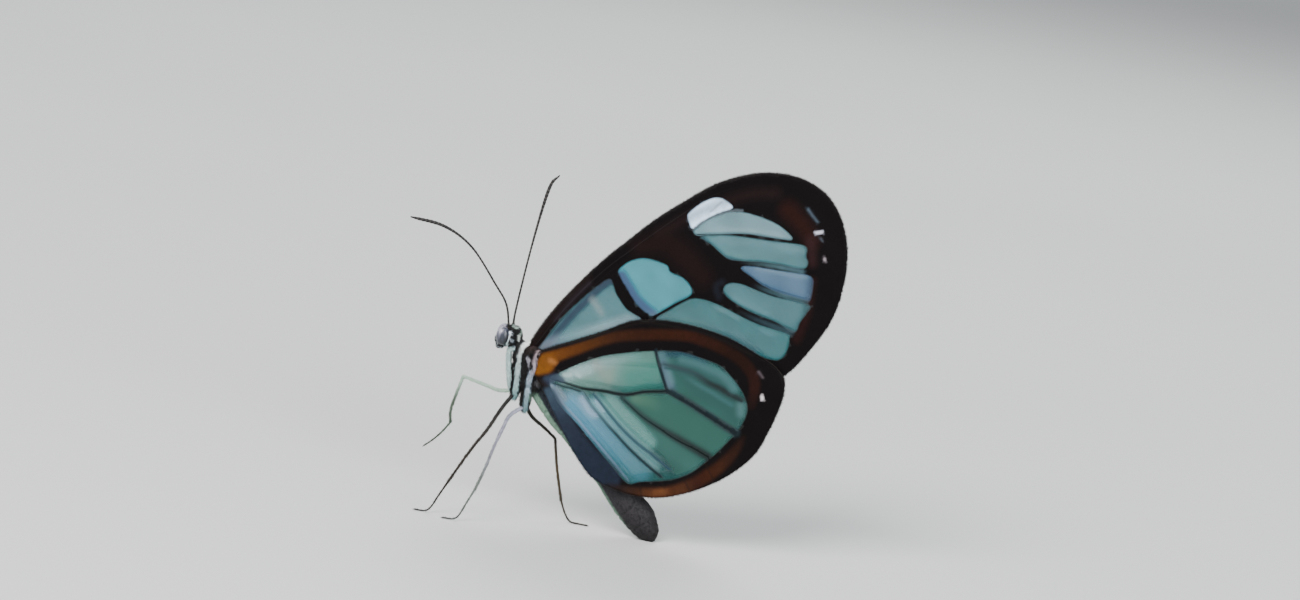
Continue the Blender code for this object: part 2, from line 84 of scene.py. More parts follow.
def from_photo(pixels, nearer=0.0):
    """Places (x, z) in millimetres for pixels of the photograph, on the plane y = -nearer."""
    pixels = np.asarray(pixels, float)
    right = pixels[..., 0] - TIP_PIXEL[0]
    up = TIP_PIXEL[1] - pixels[..., 1]
    x = PIXEL * (right * math.cos(ROLL) - up * math.sin(ROLL))
    rise = PIXEL * (right * math.sin(ROLL) + up * math.cos(ROLL))
    return np.stack([x, (rise + nearer * math.sin(RISE)) / math.cos(RISE)], -1)


def to_photo(places, nearer=0.0):
    """Pixels of the photograph for places (x, z) in millimetres."""
    places = np.asarray(places, float)
    rise = places[..., 1] * math.cos(RISE) - nearer * math.sin(RISE)
    right = (places[..., 0] * math.cos(ROLL) + rise * math.sin(ROLL)) / PIXEL
    up = (rise * math.cos(ROLL) - places[..., 0] * math.sin(ROLL)) / PIXEL
    return np.stack([TIP_PIXEL[0] + right, TIP_PIXEL[1] - up], -1)


def srgb(red, green, blue):
    """A linear colour from the 0 to 255 values that a screen shows."""
    def straight(value):
        value /= 255
        return value / 12.92 if value <= 0.04045 else ((value + 0.055) / 1.055) ** 2.4
    return np.array([straight(red), straight(green), straight(blue)])


def membrane(red, green, blue, cover=CLEAR):
    """The membrane's own colour that makes a window look like this over a pale floor."""
    added = SHEEN + FLOOR_LIGHT * (1.0 - cover) ** 4
    return np.clip((srgb(red, green, blue) - added) / MEMBRANE_LIT, DARKEST, 1.0)


def shades(*colours):
    """Several colours, spread along a route in this order."""
    return np.array([srgb(*colour) for colour in colours])


def glass(cover, *colours):
    """Several membrane colours for one cover, spread along a route in this order."""
    return np.array([membrane(*colour, cover) for colour in colours])


# Curves and distances

def smooth_route(points, steps):
    """Points along a smooth curve through the given ones."""
    points = [np.asarray(point, float) for point in points]
    padded = [2 * points[0] - points[1], *points, 2 * points[-1] - points[-2]]
    route = []
    for before, start, end, after in zip(padded, padded[1:], padded[2:], padded[3:]):
        for step in range(steps):
            t = step / steps
            pull = (end - before) * t
            bend = (2 * before - 5 * start + 4 * end - after) * t ** 2
            turn = (3 * start - before - 3 * end + after) * t ** 3
            route.append(start + 0.5 * (pull + bend + turn))
    route.append(points[-1])
    return np.array(route)


def smooth_loop(points, steps):
    """Points along a smooth closed curve through the given ones."""
    wrapped = [points[-1], *points, points[0], points[1]]
    return smooth_route(wrapped, steps)[steps:-steps - 1]


def read_along(spots, marks, rows):
    """Rows of numbers read at the spots, where marks says what each row stands for."""
    columns = np.asarray(rows).T
    return np.stack([np.interp(spots, marks, column) for column in columns], -1)


def lengths_along(route):
    """The length of a route up to each of its points."""
    return np.concatenate([[0.0], np.cumsum(np.linalg.norm(np.diff(route, axis=0), axis=1))])


def unit(vectors):
    """The same directions with length one."""
    return vectors / np.maximum(np.linalg.norm(vectors, axis=-1, keepdims=True), 1e-9)


def headings(route):
    """Unit vectors along a route."""
    return unit(np.gradient(route, axis=0))


def stand(flat, y=0.0):
    """Places in the model for flat ones (x, z), at y from the mid plane."""
    return np.column_stack([flat[:, 0], np.full(len(flat), y), flat[:, 1]])


def mirrored(points, side):
    """The same places on the left or on the right."""
    return np.array(points) * (1, side, 1)


def even_route(route, spacing, closed=False):
    """The same curve with its points an even distance apart."""
    route = np.asarray(route, float)
    if closed:
        route = np.vstack([route, route[:1]])
    lengths = lengths_along(route)
    count = max(2, int(round(lengths[-1] / spacing)))
    marks = np.linspace(0.0, lengths[-1], count + 1)
    even = read_along(marks, lengths, route)
    return even[:-1] if closed else even


def line_distance(places, route):
    """Each place's distance from a line, and the share of the line where it is nearest."""
    best = np.full(len(places), np.inf)
    share = np.zeros(len(places))
    for index, (start, end) in enumerate(zip(route[:-1], route[1:])):
        run = end - start
        t = np.clip(((places - start) @ run) / max(run @ run, 1e-12), 0.0, 1.0)
        away = np.linalg.norm(places - start - t[:, None] * run, axis=1)
        near = away < best
        best[near] = away[near]
        share[near] = (index + t[near]) / (len(route) - 1)
    return best, share


def inside(places, loop):
    """Which places lie inside a closed loop."""
    result = np.zeros(len(places), bool)
    for start, end in zip(loop, np.roll(loop, -1, axis=0)):
        crosses = (start[1] > places[:, 1]) != (end[1] > places[:, 1])
        if start[1] != end[1]:
            where = (end[0] - start[0]) * (places[:, 1] - start[1]) / (end[1] - start[1]) + start[0]
            result ^= crosses & (places[:, 0] < where)
    return result


def loop_depth(places, loop):
    """Distance from a closed loop, positive inside it."""
    away, _ = line_distance(places, np.vstack([loop, loop[:1]]))
    return np.where(inside(places, loop), away, -away)


def fade(values, low, high):
    """0 below low, 1 above high, and smooth between."""
    t = np.clip((values - low) / (high - low), 0.0, 1.0)
    return t * t * (3 - 2 * t)


def waves(places, wide, high, start):
    """Smooth noise over flat places, at a scale for each of their two directions."""
    return np.array([noise.noise(Vector((x * wide, z * high, start))) for x, z in places])


def stroke(pixels, route, widths, soft, tints):
    """A mark's colour at each pixel, and how much of it shows there."""
    away, share = line_distance(pixels, smooth_route(route, 4))
    width = np.interp(share, np.linspace(0, 1, len(widths)), widths)
    tints = np.atleast_2d(tints)
    tint = read_along(share, np.linspace(0, 1, len(tints)), tints)
    return tint, 1.0 - fade(away, width - soft, width + soft)


def sideways(route, distance, closed=False):
    """The flat route moved to its left by the distance."""
    ahead = np.roll(route, -1, axis=0)
    behind = np.roll(route, 1, axis=0)
    if not closed:
        ahead[-1] = route[-1]
        behind[0] = route[0]
    run = unit(ahead - behind)
    return route + np.stack([-run[:, 1], run[:, 0]], -1) * distance


# Wings: outlines in millimetres, markings in pixels of the photograph

FOREWING = [(-13.5, 15.0), (-12.4, 17.5), (-10.9, 20.0), (-8.8, 22.9), (-6.9, 25.1), (-4.9, 27.3),
            (-2.6, 29.4), (-0.8, 30.9), (0.7, 31.8), (2.3, 32.5), (3.8, 32.9), (5.7, 33.0),
            (7.3, 32.7), (8.9, 31.9), (10.2, 30.5), (11.2, 28.4), (11.6, 25.9), (11.5, 23.3),
            (11.0, 21.2), (10.0, 19.1), (8.6, 16.8), (7.3, 15.8), (4.4, 15.6), (0.2, 15.3),
            (-4.0, 14.9), (-8.2, 14.4), (-11.6, 13.9), (-13.0, 14.1)]
HINDWING = [(-12.68, 14.55), (-11.8, 15.3), (-10.2, 16.1), (-7.8, 17.3), (-5.5, 18.6), (-4.0, 19.0),
            (-2.2, 19.2), (0.4, 19.1), (3.1, 18.6), (5.3, 17.8), (7.2, 16.9), (8.1, 15.9),
            (8.3, 14.7), (8.1, 13.2), (7.6, 11.3), (6.8, 9.2), (5.2, 7.3), (3.2, 5.8), (1.2, 4.8),
            (-0.8, 4.2), (-2.8, 4.1), (-4.7, 4.4), (-6.4, 5.0), (-7.8, 6.3), (-9.2, 8.1),
            (-10.5, 9.9), (-11.5, 11.4), (-12.3, 12.5), (-12.78, 13.3)]
FLARE_START = 1.4              # distances from the body's middle line
FLARE_END = 10.0
BODY_AXIS = [(-16.3, 15.7), (-15.0, 15.4), (-13.9, 14.0), (-13.2, 12.6), (-12.2, 11.3),
             (-10.2, 9.0), (-7.7, 6.9), (-5.2, 5.0), (-2.9, 2.65), (-1.6, 1.08), (-0.6, 0.2)]
SLACK = 0.07                   # how far the wings bend out of their plane
RIPPLE = 0.02
SKIN_HALF = 0.022              # half thickness of clear membrane
SCALE_HALF = 0.034             # added where scales cover it
RIM_STEP = 0.13                # distances between corners on edges and in between
EDGE_SOFT = 0.09               # half width of the border between two markings
RAGGED = 0.5                   # pixels that the border wanders
SHARP = 1.7                    # softness below which a marking gets its own line of corners
FILL_STEP = 0.22
GAP = 0.07                     # corners of a wing keep about this distance from one another
RIM_GAP = 0.05                 # and this one from its edge

FOLD_WAYS = np.array([(0.83, 0.56), (-0.56, 0.83)])     # columns along and across the folds
CLOUDY = 0.16                  # how strongly random patches tint the membrane
# how strongly streaks of painted sheen and shade along the folds lighten and darken the membrane
STREAKY = 0.14

DARK = srgb(6, 3, 4)
VEIN_DARK = srgb(24, 26, 28)
VEIN_SIZE = 0.85
VEIN_STEP = 0.2
VEIN_MARGIN = 0.16             # how far short of the wing's edge the raised veins end
FRINGE_STEP = 0.06
FRINGE_ROOT = 0.05             # how far inside the edge it starts
FRINGE_TONE = srgb(40, 30, 27)
WHITE = srgb(205, 230, 255)

# name: (outline in pixels, colour, cover); cover is how much one face hides
FORE_WINDOWS = {
    "base": ([(541, 346.5), (545, 339), (553, 328), (564, 315), (580, 300), (596, 287), (609, 278.5),
              (613, 284), (616, 293), (621, 301), (626, 308), (633, 313), (641, 318.5), (634, 324),
              (612, 333), (585, 342), (560, 348)], membrane(107, 132, 138), CLEAR),
    "cell": ([(619, 271), (624, 265), (631, 260.5), (641, 258), (650, 258.8), (660, 262),
              (667.5, 265.5), (670, 271.5), (682, 277), (688.5, 283), (691.5, 290), (689, 295),
              (674, 302.5), (654, 314), (648, 312), (641, 307), (634.5, 299), (630, 291.5),
              (625, 283)], membrane(105, 157, 169), CLEAR),
    "below cell": ([(656.5, 318.5), (670, 309.5), (682, 302.5), (693, 298), (707, 300), (722, 306),
                    (740, 315.5), (760, 324.5), (787, 333), (789, 338), (786.5, 350), (779, 358.5),
                    (766, 357), (752, 352.5), (740, 346.5), (715, 336), (690, 328.5),
                    (670, 324.5)], membrane(97, 122, 126), CLEAR),
    "oval": ([(724, 290), (725, 285.5), (731, 282.5), (742, 284), (757, 290), (775, 296.5),
              (808, 304), (806, 312), (799.5, 321), (796, 330), (790, 330), (778, 321.5),
              (752, 311), (737, 302.5), (728, 296)], membrane(104, 127, 133), CLEAR),
    # this window's lilac tint is painted sheen on the clear membrane
    "lilac": ([(741, 267.5), (750, 265.8), (770, 269), (790, 272), (810, 276), (812, 286),
               (809, 300), (800, 299), (780, 292), (762, 283.5), (751, 275)],
              membrane(111, 123, 147), CLEAR),
    "long": ([(701, 236.6), (712, 235.3), (730, 235.3), (750, 237.8), (775, 241.5), (800, 244.5),
              (806, 248), (805, 256), (807, 262.5), (802, 267.5), (780, 263.5), (760, 260.5),
              (732, 258.8), (722, 253), (711, 243)], membrane(111, 137, 143), CLEAR),
    "upper": ([(694, 230.5), (700, 225.5), (707, 220), (719, 214.5), (733, 212), (748, 213.5),
               (765, 219), (779, 226), (789, 234.5), (791, 239), (780, 238), (765, 235.6),
               (748, 233), (730, 232.7), (712, 233.5), (698, 234.5)], membrane(136, 159, 168), CLEAR),
    "white spot": ([(689, 213), (698, 205.5), (705, 201.5), (712, 198.6), (718, 198), (724, 199.8),
                    (732, 206.5), (727, 209.5), (718, 212.5), (705, 219.5), (693, 227.5),
                    (689.5, 222), (688, 217)], WHITE, 1.0),
    "hidden": ([(556, 357), (600, 344), (640, 331), (668, 330), (705, 341), (735, 352), (766, 367),
                (740, 372), (690, 366), (640, 361), (590, 357)], membrane(97, 120, 124), CLEAR),
}
# marks: (route in pixels, half widths along it, softness, colour or colours, cover, strength)
# A mark with a cover below 1 only tints the membrane and leaves the scales as they are.
FORE_MARKS = [
    ([(533, 341), (550, 318), (585, 279)], (5, 7), 5, srgb(24, 13, 11), 1.0, 0.5),
    ([(547, 344), (559, 329), (571, 315), (586, 300.5), (601, 287), (611, 280)], (4.6, 4), 2.4,
     srgb(30, 41, 57), 0.96, 0.92),
    # The paler patches and streaks in the windows that follow are painted sheen on the membrane.
    ([(593, 299), (598, 306), (602, 313)], (3, 2.4), 3.5, membrane(152, 158, 160), CLEAR, 0.7),
    ([(756, 268.5), (777, 271.5), (804, 277)], (1.4, 1.8), 2.4, membrane(134, 152, 172), CLEAR, 0.8),
    ([(764, 281), (780, 287)], (1.6, 1.4), 3, membrane(96, 112, 136), CLEAR, 0.6),
    ([(718, 240), (750, 242), (777, 245.5), (801, 250)], (1.4, 1.8), 3, membrane(124, 148, 158),
     CLEAR, 0.75),
    ([(724, 252.5), (744, 256)], (1.4, 1.4), 3.2, membrane(124, 154, 154), CLEAR, 0.6),
    ([(782, 257), (803, 258)], (2, 2.4), 4.5, membrane(98, 116, 122), CLEAR, 0.6),
    ([(706, 229), (738, 229.5), (764, 231.5), (781, 235)], (1.2, 1.6), 2.4, membrane(158, 178, 184),
     CLEAR, 0.8),
    ([(734, 297.5), (745, 303), (757, 308), (768, 313)], (1.6, 1.2), 2.6, membrane(120, 150, 158),
     CLEAR, 0.8),
    ([(716, 306), (727, 311.5), (738, 317)], (1.4, 1.2), 2.6, membrane(124, 154, 160), CLEAR, 0.75),
    ([(736, 332), (744, 336.5)], (1.4, 1.2), 3.4, membrane(116, 144, 150), CLEAR, 0.7),
    ([(762, 330), (772, 334)], (1.4, 1.2), 3, membrane(118, 148, 158), CLEAR, 0.7),
    # painted sheen: a grey-violet stripe along the costa
    ([(556, 318), (575, 296), (590, 282)], (2, 2), 2.5, srgb(36, 30, 38), 1.0, 0.4),
    ([(622, 275), (629, 286), (636, 297), (645, 306), (653, 312)], (5.2, 4), 2.8,
     srgb(48, 60, 92), 0.97, 0.92),
    ([(655, 315.6), (674, 304.6), (692, 295.5)], (1.3, 1.3), 0.6, DARK, 1.0, 1.0),
    ([(733, 267), (745, 275), (758, 284), (776, 291), (804, 300)], (3.2, 1.2), 2.5,
     srgb(26, 30, 46), 0.96, 0.9),
    ([(703, 238), (714, 247), (725, 256), (738, 260)], (2, 1.5), 2, srgb(26, 36, 52), 0.95, 0.75),
    ([(740, 261), (757, 263), (770, 264.7), (785, 267.5), (802, 271)], (1.4, 2.4), 1.6,
     shades((14, 14, 16), (42, 60, 64), (52, 74, 80), (50, 70, 78)), 1.0, 0.95),
    ([(754, 284), (764, 288.5), (777, 293), (790, 297), (806, 301.5)], (1.6, 2.6), 1.6,
     shades((14, 14, 18), (38, 56, 62), (46, 68, 74), (42, 60, 66)), 1.0, 0.95),
    ([(720, 292), (730, 302), (750, 313), (775, 324), (792, 332)], (2, 3.4), 2,
     srgb(32, 46, 54), 0.92, 0.85),
    ([(738, 310), (752, 316.7), (764, 321.7), (778, 327), (791, 331.5)], (1.6, 3), 2,
     shades((10, 10, 12), (28, 40, 46), (32, 48, 54), (36, 52, 58)), 1.0, 0.95),
    ([(722, 281), (716, 286), (719, 296)], (3, 3), 3, srgb(18, 21, 29), 1.0, 0.7),
    ([(788, 210), (803, 226), (811, 240)], (9, 7), 8, srgb(30, 11, 7), 1.0, 0.9),
    ([(810, 240), (812, 262)], (5, 4), 5, srgb(36, 18, 19), 1.0, 0.8),
    ([(812, 280), (807, 312), (797, 338)], (3, 4), 5, srgb(34, 12, 10), 1.0, 0.6),
    ([(640, 246), (668, 243), (690, 262), (702, 276)], (8, 12, 10), 10, srgb(22, 9, 8), 1.0, 0.75),
    ([(660, 232), (700, 212), (745, 195), (775, 193)], (4, 5), 7, srgb(28, 15, 15), 1.0, 0.6),
    ([(711, 211), (721, 202)], (0.7, 0.7), 0.8, srgb(120, 122, 135), 1.0, 0.7),
    ([(693, 229), (706, 219.5), (731, 210.6), (742, 210.5)], (1.3, 1.1), 0.8, srgb(70, 78, 84), 1.0, 0.9),
    ([(807, 209), (812, 216), (816.5, 221.5)], (1.5, 1.1), 1.5, srgb(58, 68, 78), 1.0, 0.9),
    # painted light along the hindwing's upper edge, brightest at the edge, against the shade that the
    # hindwing casts on the forewing's windows
    ([(541, 346), (556, 342), (571, 337.5), (586, 333), (601, 328.5), (616, 324.5), (631, 321),
      (646, 319.5), (661, 320), (677, 322.5), (692, 326), (708, 330.5), (723, 336), (738, 343),
      (752, 351)], (4, 4), 9,
     shades((120, 126, 140), (128, 144, 162), (132, 164, 172), (142, 168, 175), (150, 173, 180),
            (154, 180, 188), (150, 172, 182), (104, 122, 138), (98, 124, 130), (98, 126, 128),
            (100, 128, 129), (96, 122, 126), (84, 108, 116), (78, 102, 112), (80, 100, 110)), 0.7, 0.85),
    ([(815.5, 232.5), (821, 231.6)], (1.6, 1.4), 1.2, srgb(176, 176, 190), 1.0, 1.0),
    ([(820, 238), (822, 241)], (1.2, 0.8), 1.4, srgb(60, 64, 72), 1.0, 0.7),
    ([(823.7, 258), (824.1, 260)], (1.4, 1.1), 1.2, srgb(130, 120, 126), 1.0, 1.0),
]
HIND_WINDOWS = {
    "glass": ([(551, 376), (560, 370), (575, 363.2), (590, 357.8), (605, 353.8), (622, 351.6),
               (640, 350.1), (662, 349.2), (682, 350.2), (700, 356), (720, 364), (732, 375.8),
               (741, 388), (745, 396), (747.5, 407), (744, 419), (737, 430), (726, 442),
               (714, 453.5), (702, 463), (690, 471), (676, 476), (660, 478), (640, 478.5),
               (628, 480), (612, 462), (594, 440), (578, 420), (563, 404), (555, 391)],
              membrane(94, 104, 103), CLEAR),
    "dark cells": ([(660, 352), (671, 351), (682, 352), (700, 358), (719, 366), (730, 377.5),
                    (739, 389), (743, 397), (745.5, 407), (742, 418), (735, 429), (724, 441),
                    (712, 452.5), (701, 461), (690, 468), (676, 473), (668, 460), (655, 444),
                    (640, 428), (628, 412), (624, 396), (640, 393.5), (668, 392), (666, 378),
                    (662, 364)], membrane(85, 95, 90, CLOUDED), CLOUDED),
}
HIND_MARKS = [
    # cells: tints of the clear membrane, painted highlights, sheen and reflections among them
    ([(580, 372), (620, 368), (650, 362)], (15, 14), 12, membrane(139, 164, 155), CLEAR, 0.85),
    ([(632, 374), (654, 371)], (12, 12), 12, membrane(96, 137, 127), CLEAR, 0.9),
    ([(680, 362), (705, 372), (732, 396)], (9, 8), 8, membrane(85, 91, 91, CLOUDED), CLOUDED, 0.9),
    ([(690, 378), (715, 394), (738, 412)], (8, 10), 8, membrane(84, 90, 87, CLOUDED), CLOUDED, 0.9),
    ([(650, 402), (690, 424), (718, 440)], (14, 14), 9,
     glass(CLOUDED, (86, 97, 89), (86, 98, 91)), CLOUDED, 0.95),
    ([(655, 434), (672, 448), (692, 462)], (9, 8), 6, membrane(88, 100, 95, CLOUDED), CLOUDED, 0.9),
    ([(572, 400), (600, 430), (640, 470)], (11, 10), 8,
     glass(CLEAR, (124, 164, 190), (112, 150, 174), (104, 134, 146)), CLEAR, 0.9),
    # a pale streak along the vein and two bluish-white spots: painted sheen and highlights
    ([(596, 400), (625, 430), (655, 462)], (6, 5), 6,
     glass(CLEAR, (140, 180, 190), (128, 156, 158)), CLEAR, 0.8),
    ([(583, 396), (590, 408), (596, 412)], (3, 2.4), 4, membrane(182, 200, 226), CLEAR, 0.7),
    ([(597, 398), (604, 408)], (1.6, 1.4), 2.4, membrane(190, 206, 226), CLEAR, 0.7),
    ([(610, 400), (626, 415), (641, 430), (650, 440)], (8, 6), 4.5, membrane(124, 158, 153), CLEAR, 0.85),
    # painted highlight along the cell's upper edge
    ([(566, 374), (578, 368), (592, 363), (606, 359.6), (622, 357), (638, 355)], (4.5, 2.5), 7,
     glass(CLEAR, (176, 198, 202), (178, 200, 202), (168, 190, 190), (130, 166, 160)), CLEAR, 0.85),
    # pinkish patches: painted reflections
    ([(596, 360), (604, 372)], (3, 2), 6, membrane(170, 162, 154), CLEAR, 0.6),
    ([(612, 368), (609, 379)], (2, 2), 5, membrane(162, 160, 148), CLEAR, 0.5),
    # whitish spots: painted glints
    ([(570, 366), (582, 371), (592, 369)], (2, 2), 3, membrane(186, 204, 206), CLEAR, 0.5),
    ([(565, 371.5), (571, 372)], (1.8, 1.6), 1.8, membrane(208, 222, 222), CLEAR, 0.8),
    ([(577, 371), (581, 374)], (1.4, 1.2), 1.8, membrane(202, 220, 220), CLEAR, 0.7),
    ([(553, 383), (558, 391), (563, 399)], (3.5, 3), 2.5, srgb(98, 122, 140), 0.75, 0.8),
    ([(558, 385.5), (562, 390), (566, 395)], (2.6, 2.6), 2, membrane(150, 158, 170), CLEAR, 0.85),
    ([(668, 352), (688, 353), (706, 362)], (3, 2), 3, membrane(74, 84, 100), 0.8, 0.6),
    # painted shade beside the veins, painted light lines and edges beside some of them, and a few tints
    ([(663, 360), (664, 368), (670, 384)], (2.4, 3), 2, srgb(84, 100, 114), 0.7, 0.7),
    ([(661, 352), (667, 368), (673, 386)], (4.4, 3), 4, srgb(52, 74, 92), 0.93, 0.6),
    ([(664, 362), (690, 369.5), (700, 375), (710, 381.5), (720, 386), (730, 392), (742, 398)],
     (2.2, 3.2), 2.6, shades((30, 48, 52), (24, 40, 44), (8, 14, 16), (6, 12, 12), (14, 26, 28)), 0.96,
     0.95),
    # painted light: a pale line below the M2 vein and a pale edge along the top of the cell above it
    ([(684, 374.5), (692, 379), (702, 385), (712, 390.5), (722, 397), (732, 403)], (1.6, 1.6), 2,
     glass(CLOUDED, (84, 92, 90), (92, 106, 108), (92, 106, 108), (90, 104, 106)), CLOUDED, 0.8),
    ([(682, 357.5), (690, 359.5), (700, 362.5), (710, 367), (720, 371), (730, 379), (734, 386)],
     (3, 4.5), 4, membrane(96, 111, 113, CLOUDED), CLOUDED, 0.85),
    ([(741, 404), (741, 412)], (2.4, 2), 6, membrane(106, 122, 124, CLOUDED), CLOUDED, 0.9),
    ([(636, 396), (650, 400), (664, 408)], (5, 6), 5,
     glass(CLOUDED, (101, 116, 102), (94, 108, 96), (86, 98, 91)), CLOUDED, 0.85),
    ([(669, 371), (672, 380)], (1.4, 1.2), 4.5, membrane(114, 130, 135, CLOUDED), CLOUDED, 0.85),
    ([(624, 397), (650, 419), (680, 437.5), (708, 454.5)], (2.6, 4.4), 3.2,
     shades((26, 46, 46), (18, 34, 34), (8, 18, 18), (2, 8, 8)), 0.96, 0.95),
    ([(672, 389.5), (690, 401), (700, 407.5), (712, 415), (724, 423.5), (736, 431)], (3.2, 4.4), 1.8,
     srgb(24, 38, 42), 1.0, 0.95),
    # veins
    ([(656, 349), (658.5, 360), (663, 375), (668, 390)], (2, 1.9), 1.1, srgb(16, 26, 31), 1.0, 1.0),
    ([(554, 376), (566, 379.5), (583, 385), (604, 388), (618, 391), (630, 391.8), (645, 389.5),
      (668, 389.3)],
     (0.9, 1.6, 2.2, 2.3, 2.2), 1.1, srgb(12, 20, 21), 1.0, 1.0),
    ([(554, 380), (570, 384.5), (583, 389)], (0.8, 1.2), 0.8, srgb(16, 28, 32), 1.0, 1.0),
    ([(668, 389.5), (680, 396.5), (690, 402), (700, 408.5), (712, 416.2), (720, 421.3), (736, 431.5)],
     (2, 2.8), 1.3, srgb(16, 24, 28), 1.0, 1.0),
    ([(622, 395), (640, 412), (650, 419.5), (660, 426), (672, 434.5), (684, 441.5), (696, 447.5),
      (709, 455.5)], (1.4, 2), 1.3,
     shades((16, 34, 35), (10, 22, 23), (4, 12, 12)), 1.0, 1.0),
    ([(665, 366), (690, 370.8), (700, 376.2), (710, 383), (720, 387.7), (730, 393.5), (742, 399.5)],
     (0.8, 1.2), 1.0, shades((22, 54, 54), (16, 34, 36), (6, 16, 18)), 1.0, 0.9),
    ([(583, 389), (588, 397), (595, 406), (602, 414.5), (609, 423), (616, 430.5), (623, 438.5),
      (630, 446), (640, 455.5), (650, 464.5), (662, 474.5)], (1.2, 2), 1.1,
     shades((60, 84, 92), (50, 72, 80), (26, 40, 46), (16, 30, 36), (12, 24, 28)), 1.0, 1.0),
    ([(594, 391), (602, 401), (609, 410), (616, 418.5), (623, 426.5), (630, 433.5), (640, 442.5),
      (650, 450), (660, 458.5), (670, 467)], (1.4, 1.8), 1.3, srgb(24, 48, 60), 0.95, 0.95),
    ([(552, 382), (564, 400.5), (577, 415), (590, 430.5), (603, 446), (617, 463), (629, 478)], (1.1, 0.8),
     1.3, shades((118, 132, 148), (104, 108, 134), (78, 88, 108)), 1.0, 0.75),
    # the strip that lies on the abdomen
    ([(550, 391), (563, 419), (583, 449), (607, 475)], (8, 14), 3.4,
     shades((42, 54, 66), (30, 36, 48), (24, 30, 42), (23, 28, 40)), 1.0, 0.95),
    # the border: orange at the root, rust beyond, black on both sides of it
    ([(548, 377), (557, 374), (563, 376)], (4.6, 3), 2.2, srgb(38, 47, 62), 1.0, 0.9),
    ([(540, 378), (546, 381)], (3.5, 3), 3, srgb(22, 15, 14), 1.0, 0.8),
    ([(538, 362), (546, 361)], (9.5, 9), 2.6, srgb(98, 58, 17), 1.0, 1.0),
    ([(548, 356.5), (554, 354), (560, 351.4), (575, 346.8), (590, 341.7), (604, 337.4),
      (620, 334), (635, 333), (650, 332.5), (662, 332.4), (675, 332.8), (690, 334.2),
      (702, 338), (715, 343), (728, 349.5), (740, 357), (748, 365), (753, 373), (755, 382),
      (754.5, 392), (752, 404)], (7.6, 5.6, 5, 5, 5.4, 5.3, 5.2, 5.2, 5.4, 5.6, 5.4, 4), 2.4,
     shades((94, 55, 16), (84, 47, 12), (68, 36, 9), (55, 28, 7), (42, 20, 7), (37, 16, 6), (37, 15, 5),
            (37, 15, 5), (36, 14, 6), (32, 12, 5), (25, 9, 4), (25, 9, 4), (28, 10, 6), (30, 11, 7),
            (18, 7, 6)), 1.0, 1.0),
    # painted highlight: a paler peach patch on the orange root
    ([(551, 357), (556, 359.5)], (2.4, 1.8), 2, srgb(128, 82, 42), 1.0, 0.85),
    ([(744, 436), (738, 446), (730, 456), (720, 465.5), (708, 474), (696, 481), (684, 486),
      (672, 489.3), (660, 490.5), (648, 490.3), (636, 489), (622, 486.5), (608, 484)],
     (2, 4.5, 5.5, 6, 6, 5.5, 5, 4.5, 4, 3), 3,
     shades((20, 9, 7), (30, 14, 8), (34, 15, 7), (42, 20, 8), (44, 19, 7), (38, 16, 8), (54, 29, 15),
            (56, 29, 14), (70, 39, 21), (60, 34, 18), (42, 24, 15), (30, 20, 18), (24, 20, 22)), 1.0, 1.0),
    *[(route, (0.9, 0.7), 1.2, srgb(20, 10, 8), 1.0, 0.6) for route in (
        [(640, 481), (642, 494)], [(662, 479), (668, 492)], [(684, 476), (690, 488)],
        [(706, 462), (714, 478)])],
    ([(666, 489), (656, 490)], (2.5, 2.5), 2.4, srgb(82, 48, 26), 1.0, 0.8),
    ([(538, 349.5), (570, 341.5), (600, 333), (628, 323.8), (648, 320.5), (672, 324), (702, 330.5),
      (730, 341.5), (752, 353)], (0.8, 1.2), 0.8, srgb(14, 9, 9), 1.0, 1.0),
    ([(759, 370), (763, 375.5)], (1.4, 1.1), 1.5, srgb(66, 58, 62), 1.0, 0.9),
    ([(762.4, 394.6), (762.8, 397.2)], (1.7, 1.5), 1.0, srgb(196, 186, 190), 1.0, 1.0),
]
# veins that stand up as thin tubes, with their half widths in millimetres at root and end
FORE_VEINS = [
    ([(535, 345), (552, 323), (576, 296), (604, 270), (632, 249), (660, 229), (690, 209),
      (715, 194), (745, 185)], 0.13, 0.07),
    ([(538, 347), (562, 318), (590, 289), (614, 268), (640, 252), (668, 240), (690, 226),
      (706, 219), (731, 210.6), (765, 203), (800, 197)], 0.09, 0.04),
    ([(541, 353), (570, 347), (600, 337), (628, 327), (650, 317), (672, 305.4), (694, 295)], 0.1, 0.06),
    ([(615, 272), (624, 290), (634, 304), (650, 317)], 0.07, 0.05),
    ([(660, 247), (690, 262), (702, 279), (694, 295)], 0.06, 0.05),
    ([(692, 234), (720, 233.8), (748, 235), (775, 239.5), (800, 243.5), (842, 252)], 0.06, 0.035),
    ([(690, 262), (722, 260.5), (760, 262.5), (800, 270), (842, 280)], 0.06, 0.035),
    ([(702, 279), (722, 279), (744, 281.5), (768, 291), (808, 302), (836, 310)], 0.06, 0.035),
    ([(694, 295), (722, 304), (750, 317.5), (788, 331.5), (821, 346)], 0.07, 0.035),
    ([(650, 317), (680, 330), (715, 347), (760, 366), (788, 372)], 0.07, 0.035),
    ([(541, 356), (600, 356), (660, 358), (720, 364), (770, 377)], 0.08, 0.04),
]
